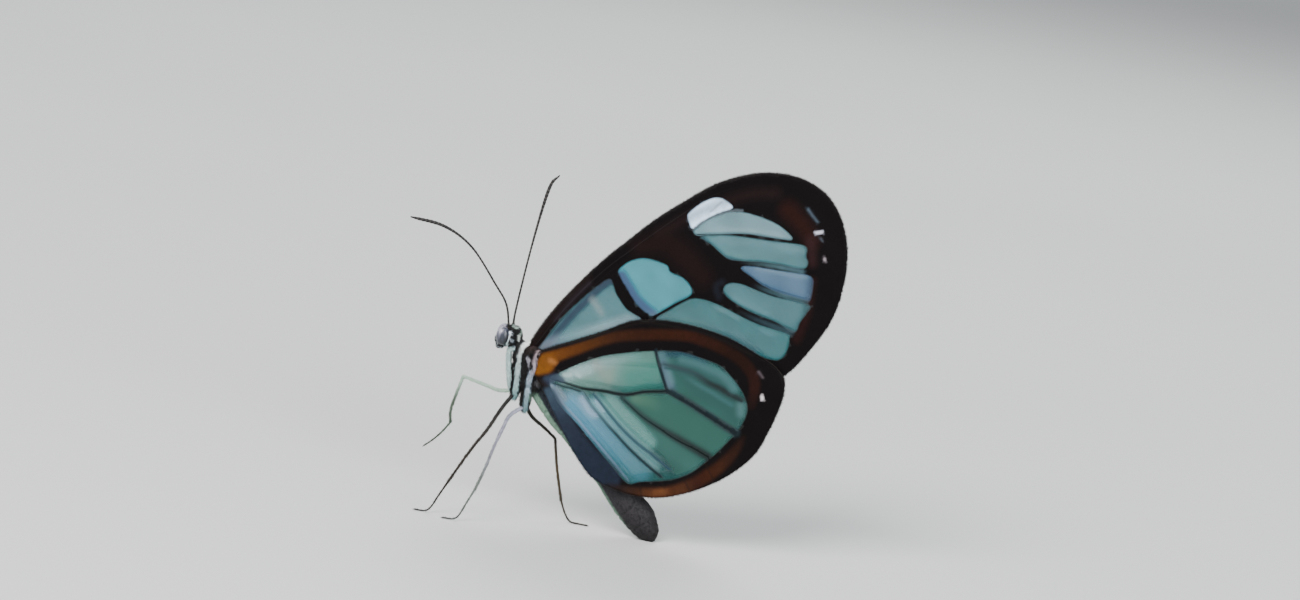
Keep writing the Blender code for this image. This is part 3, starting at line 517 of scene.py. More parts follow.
HIND_VEINS = [
    ([(540, 357), (574, 347), (610, 337.5), (645, 331.5), (672, 331.5), (700, 337.5), (726, 348),
      (750, 362), (772, 379)], 0.075, 0.05),
    ([(545, 371), (575, 361), (605, 352), (635, 348), (656, 349), (690, 351), (715, 361),
      (738, 381), (762, 398), (781, 405)], 0.08, 0.04),
    ([(656, 349), (658.5, 360), (663, 375), (668, 390)], 0.06, 0.05),
    ([(548, 374), (566, 379.5), (583, 386), (604, 388.2), (618, 391), (630, 391.8), (645, 389.5),
      (668, 389.3)], 0.08, 0.06),
    ([(665, 366), (690, 370.8), (710, 383), (742, 399.5), (777, 416)], 0.05, 0.035),
    ([(668, 389.3), (690, 402), (712, 416.2), (736, 431.5), (762, 449)], 0.07, 0.035),
    ([(622, 393), (640, 412), (660, 426), (684, 441.5), (709, 455.5), (731, 471)], 0.06, 0.035),
    ([(583, 387), (596, 406.5), (609, 422.5), (620, 435), (640, 455.5), (662, 475), (682, 491)],
     0.06, 0.035),
    ([(552, 383), (564, 402), (577, 415.5), (590, 431), (603, 446.5), (617, 463.5), (629, 478),
      (641, 493)], 0.06, 0.035),
    ([(547, 387), (560, 424), (584, 460), (607, 486)], 0.05, 0.03),
]


# middle is a wing's distance from the mid plane, flare how much farther out it lies by the body
Wing = namedtuple("Wing", "name outline windows marks veins middle flare")
WINGS = (Wing("fore", FOREWING, FORE_WINDOWS, FORE_MARKS, FORE_VEINS, 0.4, 0.5),
         Wing("hind", HINDWING, HIND_WINDOWS, HIND_MARKS, HIND_VEINS, 0.95, 0.68))


def wing_out(places, kind):
    """How far from the mid plane a wing lies at each place, slack membrane included."""
    away, _ = line_distance(places, np.array(BODY_AXIS))
    away = fade(away, FLARE_START, FLARE_END)
    slack = SLACK * waves(places, 0.32, 0.32, kind.middle * 7)
    ripple = RIPPLE * waves(places, 0.9, 0.9, kind.middle * 3)
    return kind.middle + kind.flare * (1.0 - away) + away * (slack + ripple)


def wing_plan(kind):
    """Places and triangles that fill a wing, closest together along the markings' edges."""
    rim = even_route(smooth_loop(kind.outline, 8), RIM_STEP, closed=True)
    places = [rim]
    lines = [(smooth_loop(points, 4), True, 0.0) for points, _, _ in kind.windows.values()]
    for points, widths, soft, _, _, _ in kind.marks:
        if soft < SHARP:
            route = smooth_route(points, 4)
            lines += [(route, False, side * np.mean(widths)) for side in (LEFT, RIGHT)]
    for line, closed, shift in lines:
        line = sideways(line, shift, closed) if shift else line
        line = even_route(from_photo(line), RIM_STEP, closed)
        places += [sideways(line, side * EDGE_SOFT, closed) for side in (LEFT, RIGHT)]
    low, high = rim.min(0), rim.max(0)
    rows = np.arange(low[1], high[1], FILL_STEP * 0.866)    # rows of even triangles
    places.append([(x + 0.5 * FILL_STEP * (row % 2), z)
                   for row, z in enumerate(rows) for x in np.arange(low[0], high[0], FILL_STEP)])
    seen = {}
    kept = []
    for x, z in np.vstack(places):
        key = (int(x // GAP), int(z // GAP))
        near = [seen[k] for k in ((key[0] + i, key[1] + j) for i in (-1, 0, 1) for j in (-1, 0, 1))
                if k in seen]
        if all((x - a) ** 2 + (z - b) ** 2 >= GAP ** 2 * 0.7 for a, b in near):
            seen[key] = (x, z)
            kept.append((x, z))
    count = len(rim)
    rim, free = np.array(kept[:count]), np.array(kept[count:])
    kept = np.vstack([rim, free[loop_depth(free, rim) > RIM_GAP]])
    edges = [(index, (index + 1) % count) for index in range(count)]
    filled = delaunay_2d_cdt([Vector(place) for place in kept], edges, [list(range(count))], 1, 1e-4)
    return np.array([tuple(place) for place in filled[0]]), filled[2]


def paint(places, kind):
    """Colour and cover of a wing at each place."""
    pixels = to_photo(places)
    colour = np.tile(DARK, (len(places), 1))
    cover = np.ones(len(places))
    soft = EDGE_SOFT / PIXEL
    ragged = RAGGED * waves(places, 2.6, 2.6, 8.5)
    for points, tint, hides in kind.windows.values():
        part = fade(loop_depth(pixels, smooth_loop(points, 4)) + ragged, -soft, soft)
        colour += (tint - colour) * part[:, None]
        cover += (hides - cover) * part
    clear = fade(1.0 - cover, 0.0, 1.0 - CLOUDED)    # tints of the membrane stay off the scales
    clouds = CLOUDY * waves(places, 0.7, 0.7, 1.5)
    # painted sheen and shade in streaks along the folds
    folds = STREAKY * waves(places @ FOLD_WAYS, 0.25, 1.5, 4.5)
    colour *= (1.0 + clear * (clouds + folds))[:, None]
    for *shape, hides, strength in kind.marks:
        tint, part = stroke(pixels, *shape)
        part = part * strength * (clear if hides < 1.0 else 1.0)
        cover += (hides - cover) * part
        colour += (tint - colour) * part[:, None]
    return colour, cover


def placed(name, data):
    """A new object in the scene."""
    obj = bpy.data.objects.new(name, data)
    bpy.context.scene.collection.objects.link(obj)
    return obj


def read(rows, key, width, kind):
    """One property of all a mesh's corners, faces or loops."""
    values = np.empty(len(rows) * width, dtype=kind)
    rows.foreach_get(key, values)
    return values.reshape(-1, width)


def make_mesh(name, corners, faces, colours=None, cover=1.0):
    """A mesh object in the model's place from corners in millimetres, none below the floor."""
    mesh = bpy.data.meshes.new(name)
    corners = np.asarray(corners, float)
    corners[:, 2] = np.maximum(corners[:, 2], 0.0)
    corners = corners * MM + np.array(SHIFT)
    mesh.from_pydata([tuple(corner) for corner in corners], [], faces)
    if colours is not None:
        tints = np.empty((len(corners), 4), np.float32)
        tints[:, :3] = colours
        tints[:, 3] = cover
        mesh.color_attributes.new("Tint", "FLOAT_COLOR", "POINT").data.foreach_set("color", tints.ravel())
    mesh.shade_smooth()
    mesh.update()
    return placed(name, mesh)


def wing(name, plan, colour, cover, out, side):
    """A thin closed sheet with painted scales and clear windows."""
    places, triangles = plan
    half = SKIN_HALF + SCALE_HALF * fade(cover, CLEAR, 1.0)
    corners = np.vstack([stand(places, side * (out + shift)) for shift in (half, -half)])
    count = len(places)
    faces = []
    uses = {}
    for triangle in triangles:
        a, b, c = triangle if side == LEFT else reversed(triangle)
        faces += [(a, b, c), (count + c, count + b, count + a)]
        for pair in ((a, b), (b, c), (c, a)):
            uses.setdefault(frozenset(pair), []).append(pair)
    for (start, end), *others in uses.values():
        if not others:
            faces.append((end, start, count + start, count + end))
    return make_mesh(name, corners, faces, np.tile(colour, (2, 1)), np.tile(cover, 2))


def sweep(path, radii, sides):
    """Corners and faces of a closed tube."""
    path = np.asarray(path, float)
    up = np.array((0.0, 1.0, 0.0))
    corners = []
    for place, run, radius in zip(path, headings(path), radii):
        up = up - run * (up @ run)
        if np.linalg.norm(up) < 1e-3:
            up = np.cross(run, (0.3, 0.4, 0.9))
        up = unit(up)
        across = np.cross(run, up)
        for turn in math.tau * np.arange(sides) / sides:
            corners.append(place + radius * (up * math.cos(turn) + across * math.sin(turn)))
    pairs = [(side, (side + 1) % sides) for side in range(sides)]
    last = (len(path) - 1) * sides
    faces = [(ring + a, ring + b, ring + b + sides, ring + a + sides)
             for ring in range(0, last, sides) for a, b in pairs]
    start = len(corners)
    for a, b in pairs:
        faces += [(start, b, a), (start + 1, last + a, last + b)]
    return [*corners, path[0], path[-1]], faces


def joined(parts):
    """Several sets of corners and faces as one."""
    corners = []
    faces = []
    for some, more in parts:
        first = len(corners)
        corners.extend(some)
        faces.extend(tuple(index + first for index in face) for face in more)
    return corners, faces


def vein_tubes(name, kind, side):
    """The raised veins of one wing, coloured like the scales around them."""
    parts = []
    rim = smooth_loop(kind.outline, 8)
    for points, start, end in kind.veins:
        flat = even_route(from_photo(smooth_route(points, 4)), VEIN_STEP)
        flat = flat[loop_depth(flat, rim) > VEIN_MARGIN]
        path = stand(flat, side * wing_out(flat, kind))
        parts.append(sweep(path, VEIN_SIZE * np.linspace(start, end, len(path)), 8))
    corners, faces = joined(parts)
    colour, cover = paint(np.array(corners)[:, [0, 2]], kind)
    scaled = fade(cover, 0.6, 0.95)[:, None]
    return make_mesh(name, corners, faces, VEIN_DARK + (colour - VEIN_DARK) * scaled)


# Finishes

def shader_material(name, roughness, specular=0.5, coat_weight=0.0):
    """A material and the nodes that every finish here starts from."""
    made = bpy.data.materials.new(name)
    made.use_nodes = True
    tree = made.node_tree
    shader = tree.nodes["Principled BSDF"]
    shader.inputs["Roughness"].default_value = roughness
    shader.inputs["Specular IOR Level"].default_value = specular
    shader.inputs["Coat Weight"].default_value = coat_weight
    return made, tree, shader


def feed(tree, target, **sources):
    """Link sockets to a node's inputs."""
    for key, source in sources.items():
        tree.links.new(source, target.inputs[key.replace("_", " ")])


def node(tree, kind, source=None, **settings):
    """A node with its settings and unlinked inputs set, its first input fed by the source."""
    made = tree.nodes.new(kind)
    for key, value in settings.items():
        if hasattr(made, key):
            setattr(made, key, value)
        else:
            made.inputs[key.replace("_", " ")].default_value = value
    if source is not None:
        tree.links.new(source, made.inputs[0])
    return made


def tinted(tree, shader, scale, depth):
    """The painted colours, varied by fine noise; gives the coordinates that the noise uses."""
    place = node(tree, "ShaderNodeTexCoord").outputs["Object"]
    tint = node(tree, "ShaderNodeVertexColor", layer_name="Tint").outputs["Color"]
    grain = node(tree, "ShaderNodeTexNoise", place, Scale=scale, Detail=3.0).outputs["Fac"]
    vary = node(tree, "ShaderNodeMapRange", grain, To_Min=1.0 - depth, To_Max=1.0 + depth)
    mixed = node(tree, "ShaderNodeVectorMath", tint, operation="SCALE")
    feed(tree, mixed, Scale=vary.outputs["Result"])
    feed(tree, shader, Base_Color=mixed.outputs["Vector"])
    return place


def cellular(tree, shader, place, scale, strength, distance, invert=False):
    """A relief of fine cells."""
    cells = node(tree, "ShaderNodeTexVoronoi", place, Scale=scale)
    bump = node(tree, "ShaderNodeBump", Strength=strength, Distance=distance, invert=invert)
    feed(tree, bump, Height=cells.outputs["Distance"])
    feed(tree, shader, Normal=bump.outputs["Normal"])


def membrane_finish():
    """Clear glossy membrane with its painted tint and painted shade, duller where its own cover is higher.
    """
    made, tree, shader = shader_material("wing_membrane", 0.16, 0.22)
    tint = node(tree, "ShaderNodeVertexColor", layer_name="Tint").outputs
    rough = node(tree, "ShaderNodeMapRange", tint["Alpha"], From_Min=CLEAR, To_Min=0.16, To_Max=0.5)
    feed(tree, shader, Base_Color=tint["Color"], Alpha=tint["Alpha"], Roughness=rough.outputs["Result"])
    return made


def scale_finish():
    """Rows of tiny dull scales."""
    made, tree, shader = shader_material("wing_scales", 0.5, 0.07)
    place = tinted(tree, shader, 2200.0, 0.28)
    stretch = node(tree, "ShaderNodeMapping", place, Rotation=(0.0, 0.7, 0.0), Scale=(1.0, 1.0, 0.5))
    cellular(tree, shader, stretch.outputs["Vector"], 9000.0, 0.35, 0.00003)
    return made


def vein_finish():
    """Tubes a little glossier than the scales."""
    made, tree, shader = shader_material("vein_tubes", 0.5, 0.1)
    tint = node(tree, "ShaderNodeVertexColor", layer_name="Tint")
    feed(tree, shader, Base_Color=tint.outputs["Color"])
    return made


def stand_for(piece, slot, finish, *nodes):
    """Give a piece its finish, hang it from the root and hide the model's parts that it stands for."""
    if finish:
        piece.data.materials.append(finish)
    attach(piece, "root")
    if nodes:
        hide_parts(*nodes)


def split_finish(sheet, scaly, glassy):
    """One finish for the faces that scales cover and another for the clear ones."""
    sheet.data.materials.append(scaly)
    sheet.data.materials.append(glassy)
    cover = read(sheet.data.color_attributes["Tint"].data, "color", 4, np.float32)[:, 3]
    for face in sheet.data.polygons:
        face.material_index = int(min(cover[index] for index in face.vertices) < SCALED)


def fringe(name, kind, side):
    """The short scales that stand out from a wing's edge."""
    rim = even_route(smooth_loop(kind.outline, 8), FRINGE_STEP, closed=True)
    colour, _ = paint(rim, kind)
    ahead = np.roll(rim, -1, axis=0) - np.roll(rim, 1, axis=0)
    outward = np.stack([ahead[:, 1], -ahead[:, 0]], -1)
    if inside(rim[:1] + outward[:1] * 0.1, rim)[0]:
        outward = -outward
    rim = rim - unit(outward) * FRINGE_ROOT
    away = np.random.default_rng(HAIR_SEED).choice([-1.0, 1.0], len(rim))
    roots = stand(rim, side * wing_out(rim, kind))
    spots = in_map((rim - rim.min(0)) / np.ptp(rim, axis=0))
    tones = FRINGE_TONE + (colour - FRINGE_TONE) * 0.6
    return coat(name, roots, np.outer(away, (0, 1, 0)), stand(outward), *TUFTS["fringe"],
                tones, spots, HAIR_SEED)


def build_wings():
    """All four wings, their veins and their fringes."""
    glassy = membrane_finish()
    scaly = scale_finish()
    tubes = vein_finish()
    bristles = skin_finish("fringe_scales", 0.6, 0.1, 16000.0)
    for kind in WINGS:
        plan = wing_plan(kind)
        colour, cover = paint(plan[0], kind)
        out = wing_out(plan[0], kind)
        for side, letter in SIDES:
            sheet = wing(f"{kind.name}wing_{letter}", plan, colour, cover, out, side)
            split_finish(sheet, scaly, glassy)
            stand_for(sheet, "wing", None, f"wing_{kind.name}_{letter}")
            stand_for(vein_tubes(f"{kind.name}wing_veins_{letter}", kind, side), "wing", tubes)
            stand_for(fringe(f"{kind.name}wing_fringe_{letter}", kind, side), "wing", bristles)


# Body: places (x, y, z) and half sizes in millimetres; the paired lumps are made on both sides
CORE_LUMPS = [                 # centre, half sizes, lean of the top towards the tail in degrees
    ((-13.35, 0.0, 13.1), (1.32, 1.3, 2.25), 9.7),
    ((-13.2, 0.0, 14.3), (0.9, 1.05, 1.0), 0.0),
    ((-14.35, 0.0, 14.6), (0.62, 0.72, 0.75), 0.0),
    ((-12.6, 0.0, 11.8), (0.85, 1.0, 0.95), 0.0),
    ((-15.0, 0.0, 15.5), (0.78, 0.72, 0.9), 0.0),
    ((-15.75, 0.0, 15.35), (0.5, 0.42, 0.85), 0.0),
    ((-15.6, 0.0, 14.85), (0.42, 0.36, 0.34), 0.0),
]
PAIRED_LUMPS = [
    ((-14.1, 0.62, 11.3), (0.4, 0.4, 1.05), 0.0),
    ((-13.1, 0.62, 10.5), (0.44, 0.4, 1.15), 0.0),
    ((-13.1, 0.75, 14.6), (0.62, 0.5, 0.6), 0.0),
    ((-12.84, 1.32, 13.62), (0.27, 0.55, 0.85), 4.0),
    ((-12.72, 1.3, 14.5), (0.24, 0.52, 0.42), 24.0),
    ((-14.45, 0.5, 13.9), (0.36, 0.34, 0.5), 0.0),
    ((-15.3, 0.32, 16.1), (0.26, 0.26, 0.28), 0.0),
    ((-15.3, 0.7, 15.45), (0.42, 0.3, 0.8), 0.0),
]
ABDOMEN = [                    # x, z, half depth, half width
    (-12.7, 12.1, 0.7, 0.7), (-11.7, 10.75, 0.75, 0.75), (-10.07, 9.16, 0.86, 0.8),
    (-8.69, 8.17, 0.95, 0.86), (-6.84, 6.52, 1.08, 0.92), (-5.03, 4.99, 1.2, 0.97),
    (-3.32, 3.18, 1.32, 1.0), (-1.97, 1.97, 1.36, 0.98), (-1.32, 1.25, 1.2, 0.9),
    (-0.8, 0.68, 0.92, 0.75), (-0.5, 0.32, 0.62, 0.52), (-0.3, 0.16, 0.36, 0.34)]
ABDOMEN_SIDES = 32
ABDOMEN_LENGTH = 17.0
ABDOMEN_JOINTS = (0.16, 0.29, 0.42, 0.55, 0.67, 0.78, 0.88)
JOINT_DEPTH = 0.035
JOINT_WIDTH = 0.09
DARK_WIDTH = 0.12              # of the darker line in each joint
SKIN_ROUGH = 0.012
VOXEL = 0.06
EYE_CENTRE = (-15.88, 0.76, 15.5)
EYE_HALVES = (0.58, 0.5, 0.8)
EYE_LIT_WAY = (-0.84, 0.0, 0.54)        # from its painted shaded side to its painted lit side
# colours from painted shade to painted light
EYE_LIGHT_TONES = ((0.24, srgb(15, 18, 28)), (0.58, srgb(36, 40, 54)), (0.78, srgb(92, 92, 106)),
             (0.98, srgb(160, 157, 172)))
ANTENNAE = {
    "l": [(-15.45, -0.3, 15.9), (-16.0, -0.6, 18.1), (-17.2, -1.1, 19.8), (-19.6, -2.0, 22.7),
          (-22.1, -2.9, 24.2), (-25.0, -3.5, 24.6)],
    "r": [(-15.15, 0.3, 15.9), (-15.2, 0.4, 17.6), (-14.8, 1.2, 23.2), (-14.2, 1.8, 28.1),
          (-13.5, 2.0, 29.4)]}
FEELER_SIZES = ((0, 0.15), (0.03, 0.13), (0.06, 0.09), (0.5, 0.085), (0.7, 0.11), (0.86, 0.15),
                (0.95, 0.13), (1.0, 0.05))
PALP = [(-15.6, 0.22, 14.78), (-15.88, 0.32, 14.5), (-16.12, 0.37, 14.55), (-16.32, 0.37, 14.85),
        (-16.4, 0.35, 15.2)]
PALP_SIZES = ((0, 0.15), (0.3, 0.16), (0.7, 0.11), (1.0, 0.04))
TONGUE_STEM = [(-15.68, 0.0, 14.8), (-15.82, 0.0, 14.82)]
TONGUE_SIZES = ((0, 0.06), (0.1, 0.052), (1.0, 0.034))
COIL_CENTRE = (-16.1, 14.5)
COIL_TURNS = 2.3
COIL_REACH = (0.29, 0.09)
FORELEG_SIZES = ((0, 0.12), (0.25, 0.17), (0.75, 0.17), (1, 0.08))
FORELEG = [(-14.7, 0.5, 14.5), (-15.12, 0.56, 14.35), (-15.12, 0.6, 13.7), (-15.0, 0.62, 13.0),
           (-14.78, 0.62, 12.0), (-14.56, 0.6, 11.1)]
LEGS = {                       # thigh, shin and foot
    "midleg_l": ([(-14.1, -0.75, 10.8), (-14.9, -1.4, 9.5), (-15.8, -2.3, 7.6), (-16.6, -3.0, 6.3)],
                 [(-17.5, -3.3, 4.5), (-18.3, -3.5, 2.8)],
                 [(-18.9, -3.6, 1.5), (-19.35, -3.7, 0.5), (-19.8, -3.75, 0.13),
                  (-20.7, -3.75, 0.1)]),
    "midleg_r": ([(-14.1, 0.75, 10.8), (-15.4, 1.2, 10.4), (-16.6, 2.0, 10.45), (-18.8, 3.4, 10.6)],
                 [(-19.4, 4.0, 7.6), (-19.3, 4.4, 6.2)],
                 [(-19.9, 4.6, 5.2), (-20.6, 4.85, 4.3), (-21.3, 5.0, 3.6)]),
    "hindleg_l": ([(-13.1, -0.75, 9.8), (-14.1, -1.3, 9.0), (-14.5, -1.9, 8.0), (-15.0, -2.9, 6.3)],
                  [(-15.4, -3.6, 4.5), (-15.9, -4.3, 2.8)],
                  [(-16.4, -4.6, 1.6), (-16.85, -4.8, 0.5), (-17.3, -4.85, 0.13),
                   (-18.2, -4.9, 0.1)]),
    "hindleg_r": ([(-13.1, 0.75, 9.8), (-12.4, 1.1, 8.7), (-11.2, 1.6, 7.8), (-10.1, 1.9, 6.95)],
                  [(-9.5, 1.8, 4.4), (-8.7, 1.5, 1.8)],
                  [(-8.2, 1.35, 0.8), (-7.65, 1.2, 0.18), (-6.9, 1.15, 0.11), (-6.1, 1.1, 0.1)]),
}
LEG_STEPS = (0.08, 0.08, 0.05)
LEG_SIDES = 14
FOOT_JOINTS = 5
CLAW_SPREAD = 0.06
CLAW_LENGTH = 0.16
SPINE_EVERY = (5, 7)           # steps of shin and foot from one pair of spines to the next
SPINE_OUT = 0.1
SPINE_AHEAD = 0.14
TUFTS = {                      # length, half width and lift of the short hairs
    "fringe": (0.2, 0.028, 0.06), "palp": (0.2, 0.022, 0.55), "leg": (0.2, 0.02, 0.25),
    "foreleg": (0.3, 0.025, 0.25), "abdomen": (0.22, 0.035, 0.14)}
TUFT_FLAT = 0.35               # a hair's depth as a share of its width
CHEST_SPACING = 0.085
ABDOMEN_SPACING = 0.13
HEAD_FROM = (-14.9, -14.3)     # x where the head ends and where the chest begins
NAPE_FROM = (14.7, 15.1)       # heights between which the chest's hair grows short
HAIRLESS = (0.62, 9.0, 0.85)   # half sizes of the space round the eyes where little hair grows
PALE_LEGS = ("hindleg_l", "midleg_r")
LEG_TONES = {                  # height in millimetres and the colour there
    "midleg_l": ((0.0, srgb(26, 24, 22)), (5.0, srgb(44, 36, 30)), (10.0, srgb(30, 27, 26))),
    "midleg_r": ((4.0, srgb(52, 60, 50)), (8.5, srgb(84, 98, 84)), (10.2, srgb(164, 188, 172))),
    "hindleg_l": ((0.3, srgb(52, 54, 52)), (3.5, srgb(94, 102, 96)), (6.5, srgb(138, 136, 150)),
                  (9.5, srgb(150, 150, 166))),
    "hindleg_r": ((0.3, srgb(32, 27, 21)), (4.6, srgb(66, 54, 36)), (6.9, srgb(34, 29, 24))),
}
LEG_THICKNESS = (((0, 0.14), (0.25, 0.145), (0.75, 0.12), (1, 0.105)),
                 ((0, 0.1), (0.1, 0.11), (0.8, 0.095), (1, 0.105)),
                 ((0, 0.09), (1, 0.062)))

BLACK = srgb(17, 15, 17)
ABDOMEN_BACK = shades((34, 40, 46), (31, 34, 45), (35, 34, 42), (38, 35, 38), (23, 20, 22))
ABDOMEN_PALE = srgb(106, 136, 118)
PALE_FROM = ((0.08, 0.3, 0.5, 0.75, 0.9), (0.15, 0.55, 0.8, 0.84, 1.05))
PALE_SOFT = 0.14
BELLY_WAY = (0.66, 0.75)       # from the abdomen's back to its belly, as seen from the side
STRIPE = srgb(196, 212, 218)
PALP_TONE = srgb(46, 46, 50)
TONGUE_TONE = srgb(36, 26, 20)
FORELEG_TONE = srgb(168, 192, 190)
FEELER_TONE = srgb(22, 20, 20)
FEELER_RING = srgb(64, 60, 56)
FEELER_JOINTS = 42
FEELER_SIDES = 12
RING_SHARE = 0.16              # the pale part of each joint
# route in pixels, half widths, softness, colours, strength
BODY_MARKS = [
    ([(526, 351), (532, 346.5), (538, 343)], (3.5, 3.5), 3.0, shades((28, 20, 19), (42, 25, 22)), 0.9),
    ([(529.5, 342.3), (524.5, 344.8), (521, 349.3), (519.4, 355), (518.5, 362), (517.3, 373),
      (515.6, 385), (513.3, 397)], (2.5, 2.2), 0.8, shades((255, 255, 255), (126, 166, 168)), 1.0),
    ([(531.5, 371), (529, 377), (527.5, 387), (526, 398), (524, 410)], (2.7, 2.2), 0.9,
     shades((190, 202, 220), (112, 146, 150)), 1.0),
    ([(539.5, 349.5), (536, 355), (534.6, 362), (534.6, 368), (532, 372)], (0.9, 1.5), 0.7,
     shades((140, 120, 122), (184, 176, 190)), 1.0),
    ([(527.8, 357), (528.9, 361), (529.3, 366)], (1.8, 1.3), 0.7, shades((160, 158, 170), (136, 136, 146)),
     1.0),
    ([(536.5, 382), (538, 384.5)], (1.9, 1.6), 1.2, srgb(92, 92, 96), 1.0),
    ([(512, 325.5), (516, 328), (519.5, 326.3), (522.5, 329.5)], (1.1, 1.0), 0.6,
     shades((150, 166, 158), (130, 150, 140)), 1.0),
    ([(521.8, 330), (520.6, 333.5), (518.6, 336)], (0.8, 0.9), 0.5,
     shades((120, 145, 132), (170, 178, 170)), 1.0),
    ([(518.3, 336.3), (518, 339.8)], (1.5, 1.4), 0.6, srgb(205, 212, 206), 1.0),
    ([(524.5, 339.8), (527, 339.6)], (0.9, 1.0), 0.8, srgb(150, 165, 158), 1.0),
    ([(510, 332.5), (508.6, 337.5), (507, 341.5), (505.6, 346)], (1.4, 0.9), 0.6,
     shades((205, 214, 224), (165, 185, 186)), 1.0),
    ([(511.3, 340), (511.8, 342)], (1.2, 1.1), 0.8, srgb(120, 128, 136), 1.0),
    ([(513.2, 347), (512.2, 350.5)], (1.6, 1.2), 0.8, shades((176, 190, 200), (160, 178, 186)), 1.0),
]


def lump(work, centre, halves, lean, side):
    """Add one closed rounded lump, in millimetres."""
    size = Matrix.Diagonal((*halves, 1.0))
    turn = Matrix.Rotation(math.radians(lean), 4, "Y")
    place = Matrix.Translation(Vector((centre[0], centre[1] * side, centre[2])))
    bmesh.ops.create_uvsphere(work, u_segments=28, v_segments=18, radius=1.0,
                              matrix=place @ turn @ size)


def abdomen_rings():
    """Centres, half depths and half widths along the abdomen, close together."""
    shape = even_route(smooth_route(ABDOMEN, 8), 0.18)
    return shape[:, :2], shape[:, 2], shape[:, 3]


def body_skin():
    """Corners and faces of the one skin over head, chest and abdomen."""
    work = bmesh.new()
    for lumps, sides in ((CORE_LUMPS, (RIGHT,)), (PAIRED_LUMPS, (LEFT, RIGHT))):
        for centre, halves, lean in lumps:
            for side in sides:
                lump(work, centre, halves, lean, side)
    centres, depths, widths = abdomen_rings()
    corners, faces = sweep(stand(centres), depths, ABDOMEN_SIDES)
    corners = np.array(corners)
    corners[:, 1] *= np.append(np.repeat(widths / depths, ABDOMEN_SIDES), [1.0, 1.0])
    made = [work.verts.new(corner) for corner in corners]
    for face in faces:
        work.faces.new([made[index] for index in face])
    bmesh.ops.recalc_face_normals(work, faces=work.faces)
    mesh = bpy.data.meshes.new("skin_source")
    work.to_mesh(mesh)
    work.free()
    source = placed("skin_source", mesh)
    remesh = source.modifiers.new("Remesh", "REMESH")
    remesh.mode = "VOXEL"
    remesh.voxel_size = VOXEL
    calm = source.modifiers.new("Smooth", "SMOOTH")
    calm.factor = 0.5
    calm.iterations = 7
    solid = source.evaluated_get(bpy.context.evaluated_depsgraph_get()).to_mesh()
    corners = read(solid.vertices, "co", 3, float)
    normals = read(solid.vertices, "normal", 3, float)
    faces = [tuple(polygon.vertices) for polygon in solid.polygons]
    bpy.data.objects.remove(source)
    return corners + normals * skin_relief(corners)[:, None], faces


def abdomen_share(places):
    """Share along the abdomen and how surely each place belongs to it."""
    centres, depths, _ = abdomen_rings()
    flat = places[:, [0, 2]]
    away, share = line_distance(flat, centres)
    depth = np.interp(share, np.linspace(0, 1, len(depths)), depths)
    belongs = fade(share, 0.03, 0.08) * (1.0 - fade(away - depth, 0.15, 0.4))
    return share, belongs


def skin_relief(places):
    """How far the skin stands out: segment joints and slight unevenness."""
    share, belongs = abdomen_share(places)
    relief = SKIN_ROUGH * np.array([noise.noise(Vector(place) * 3.1) for place in places])
    for joint in ABDOMEN_JOINTS:
        off = (share - joint) * ABDOMEN_LENGTH
        groove = np.exp(-(off / JOINT_WIDTH) ** 2)
        roll = np.exp(-((off + 0.35) / 0.3) ** 2) * 0.35
        relief += belongs * JOINT_DEPTH * (roll - groove)
    return relief


def body_colour(places):
    """Colour of skin and coat at each place, the same on both sides."""
    places = np.asarray(places, float)
    pixels = to_photo(places[:, [0, 2]], np.abs(places[:, 1]))
    colour = np.tile(BLACK, (len(places), 1))
    for *shape, strength in BODY_MARKS:
        tint, part = stroke(pixels, *shape)
        colour += (tint - colour) * (strength * part)[:, None]
    share, belongs = abdomen_share(places)
    centres, depths, _ = abdomen_rings()
    marks = np.linspace(0, 1, len(centres))
    below = (read_along(share, marks, centres) - places[:, [0, 2]]) @ BELLY_WAY
    start = np.interp(share, *PALE_FROM)
    pale = fade(below / np.interp(share, marks, depths), start - PALE_SOFT, start + PALE_SOFT)
    back = read_along(share, np.linspace(0, 1, len(ABDOMEN_BACK)), ABDOMEN_BACK)
    tone = back + (ABDOMEN_PALE - back) * pale[:, None]
    for joint in ABDOMEN_JOINTS:
        edge = np.exp(-((share - joint) * ABDOMEN_LENGTH / DARK_WIDTH) ** 2)
        tone = tone * (1.0 - 0.2 * edge[:, None])
    return colour + (tone - colour) * belongs[:, None]


def in_map(shares):
    """Shares from 0 to 1 as places in the texture map, a little inside its edges."""
    return 0.02 + 0.96 * shares


def unwrap(places):
    """Where each place lies on the skin rolled out flat, from head to tail and round."""
    axis = even_route(smooth_route(BODY_AXIS, 6), 0.3)
    _, share = line_distance(places[:, [0, 2]], axis)
    spot = share * (len(axis) - 1)
    along = read_along(spot, range(len(axis)), headings(axis))
    off = places[:, [0, 2]] - read_along(spot, range(len(axis)), axis)
    above = -off[:, 0] * along[:, 1] + off[:, 1] * along[:, 0]
    angle = np.arctan2(places[:, 1], above)
    return in_map(np.column_stack([angle / math.tau + 0.5, share]))


def surface_points(corners, faces, spacing, seed, wanted):
    """Random places with their normals, about the spacing apart where wanted says so."""
    triangles = np.array([(face[0], face[index], face[index + 1])
                          for face in faces for index in range(1, len(face) - 1)])
    a, b, c = (corners[triangles[:, index]] for index in range(3))
    cross = np.cross(b - a, c - a)
    areas = 0.5 * np.linalg.norm(cross, axis=1)
    weight = areas * wanted((a + b + c) / 3)
    count = int(weight.sum() / spacing ** 2)
    dice = np.random.default_rng(seed)
    chosen = dice.choice(len(triangles), count, p=weight / weight.sum())
    first = np.sqrt(dice.random(count))[:, None]
    second = dice.random(count)[:, None]
    places = (1 - first) * a[chosen] + first * (1 - second) * b[chosen] + first * second * c[chosen]
    return places, unit(cross[chosen])


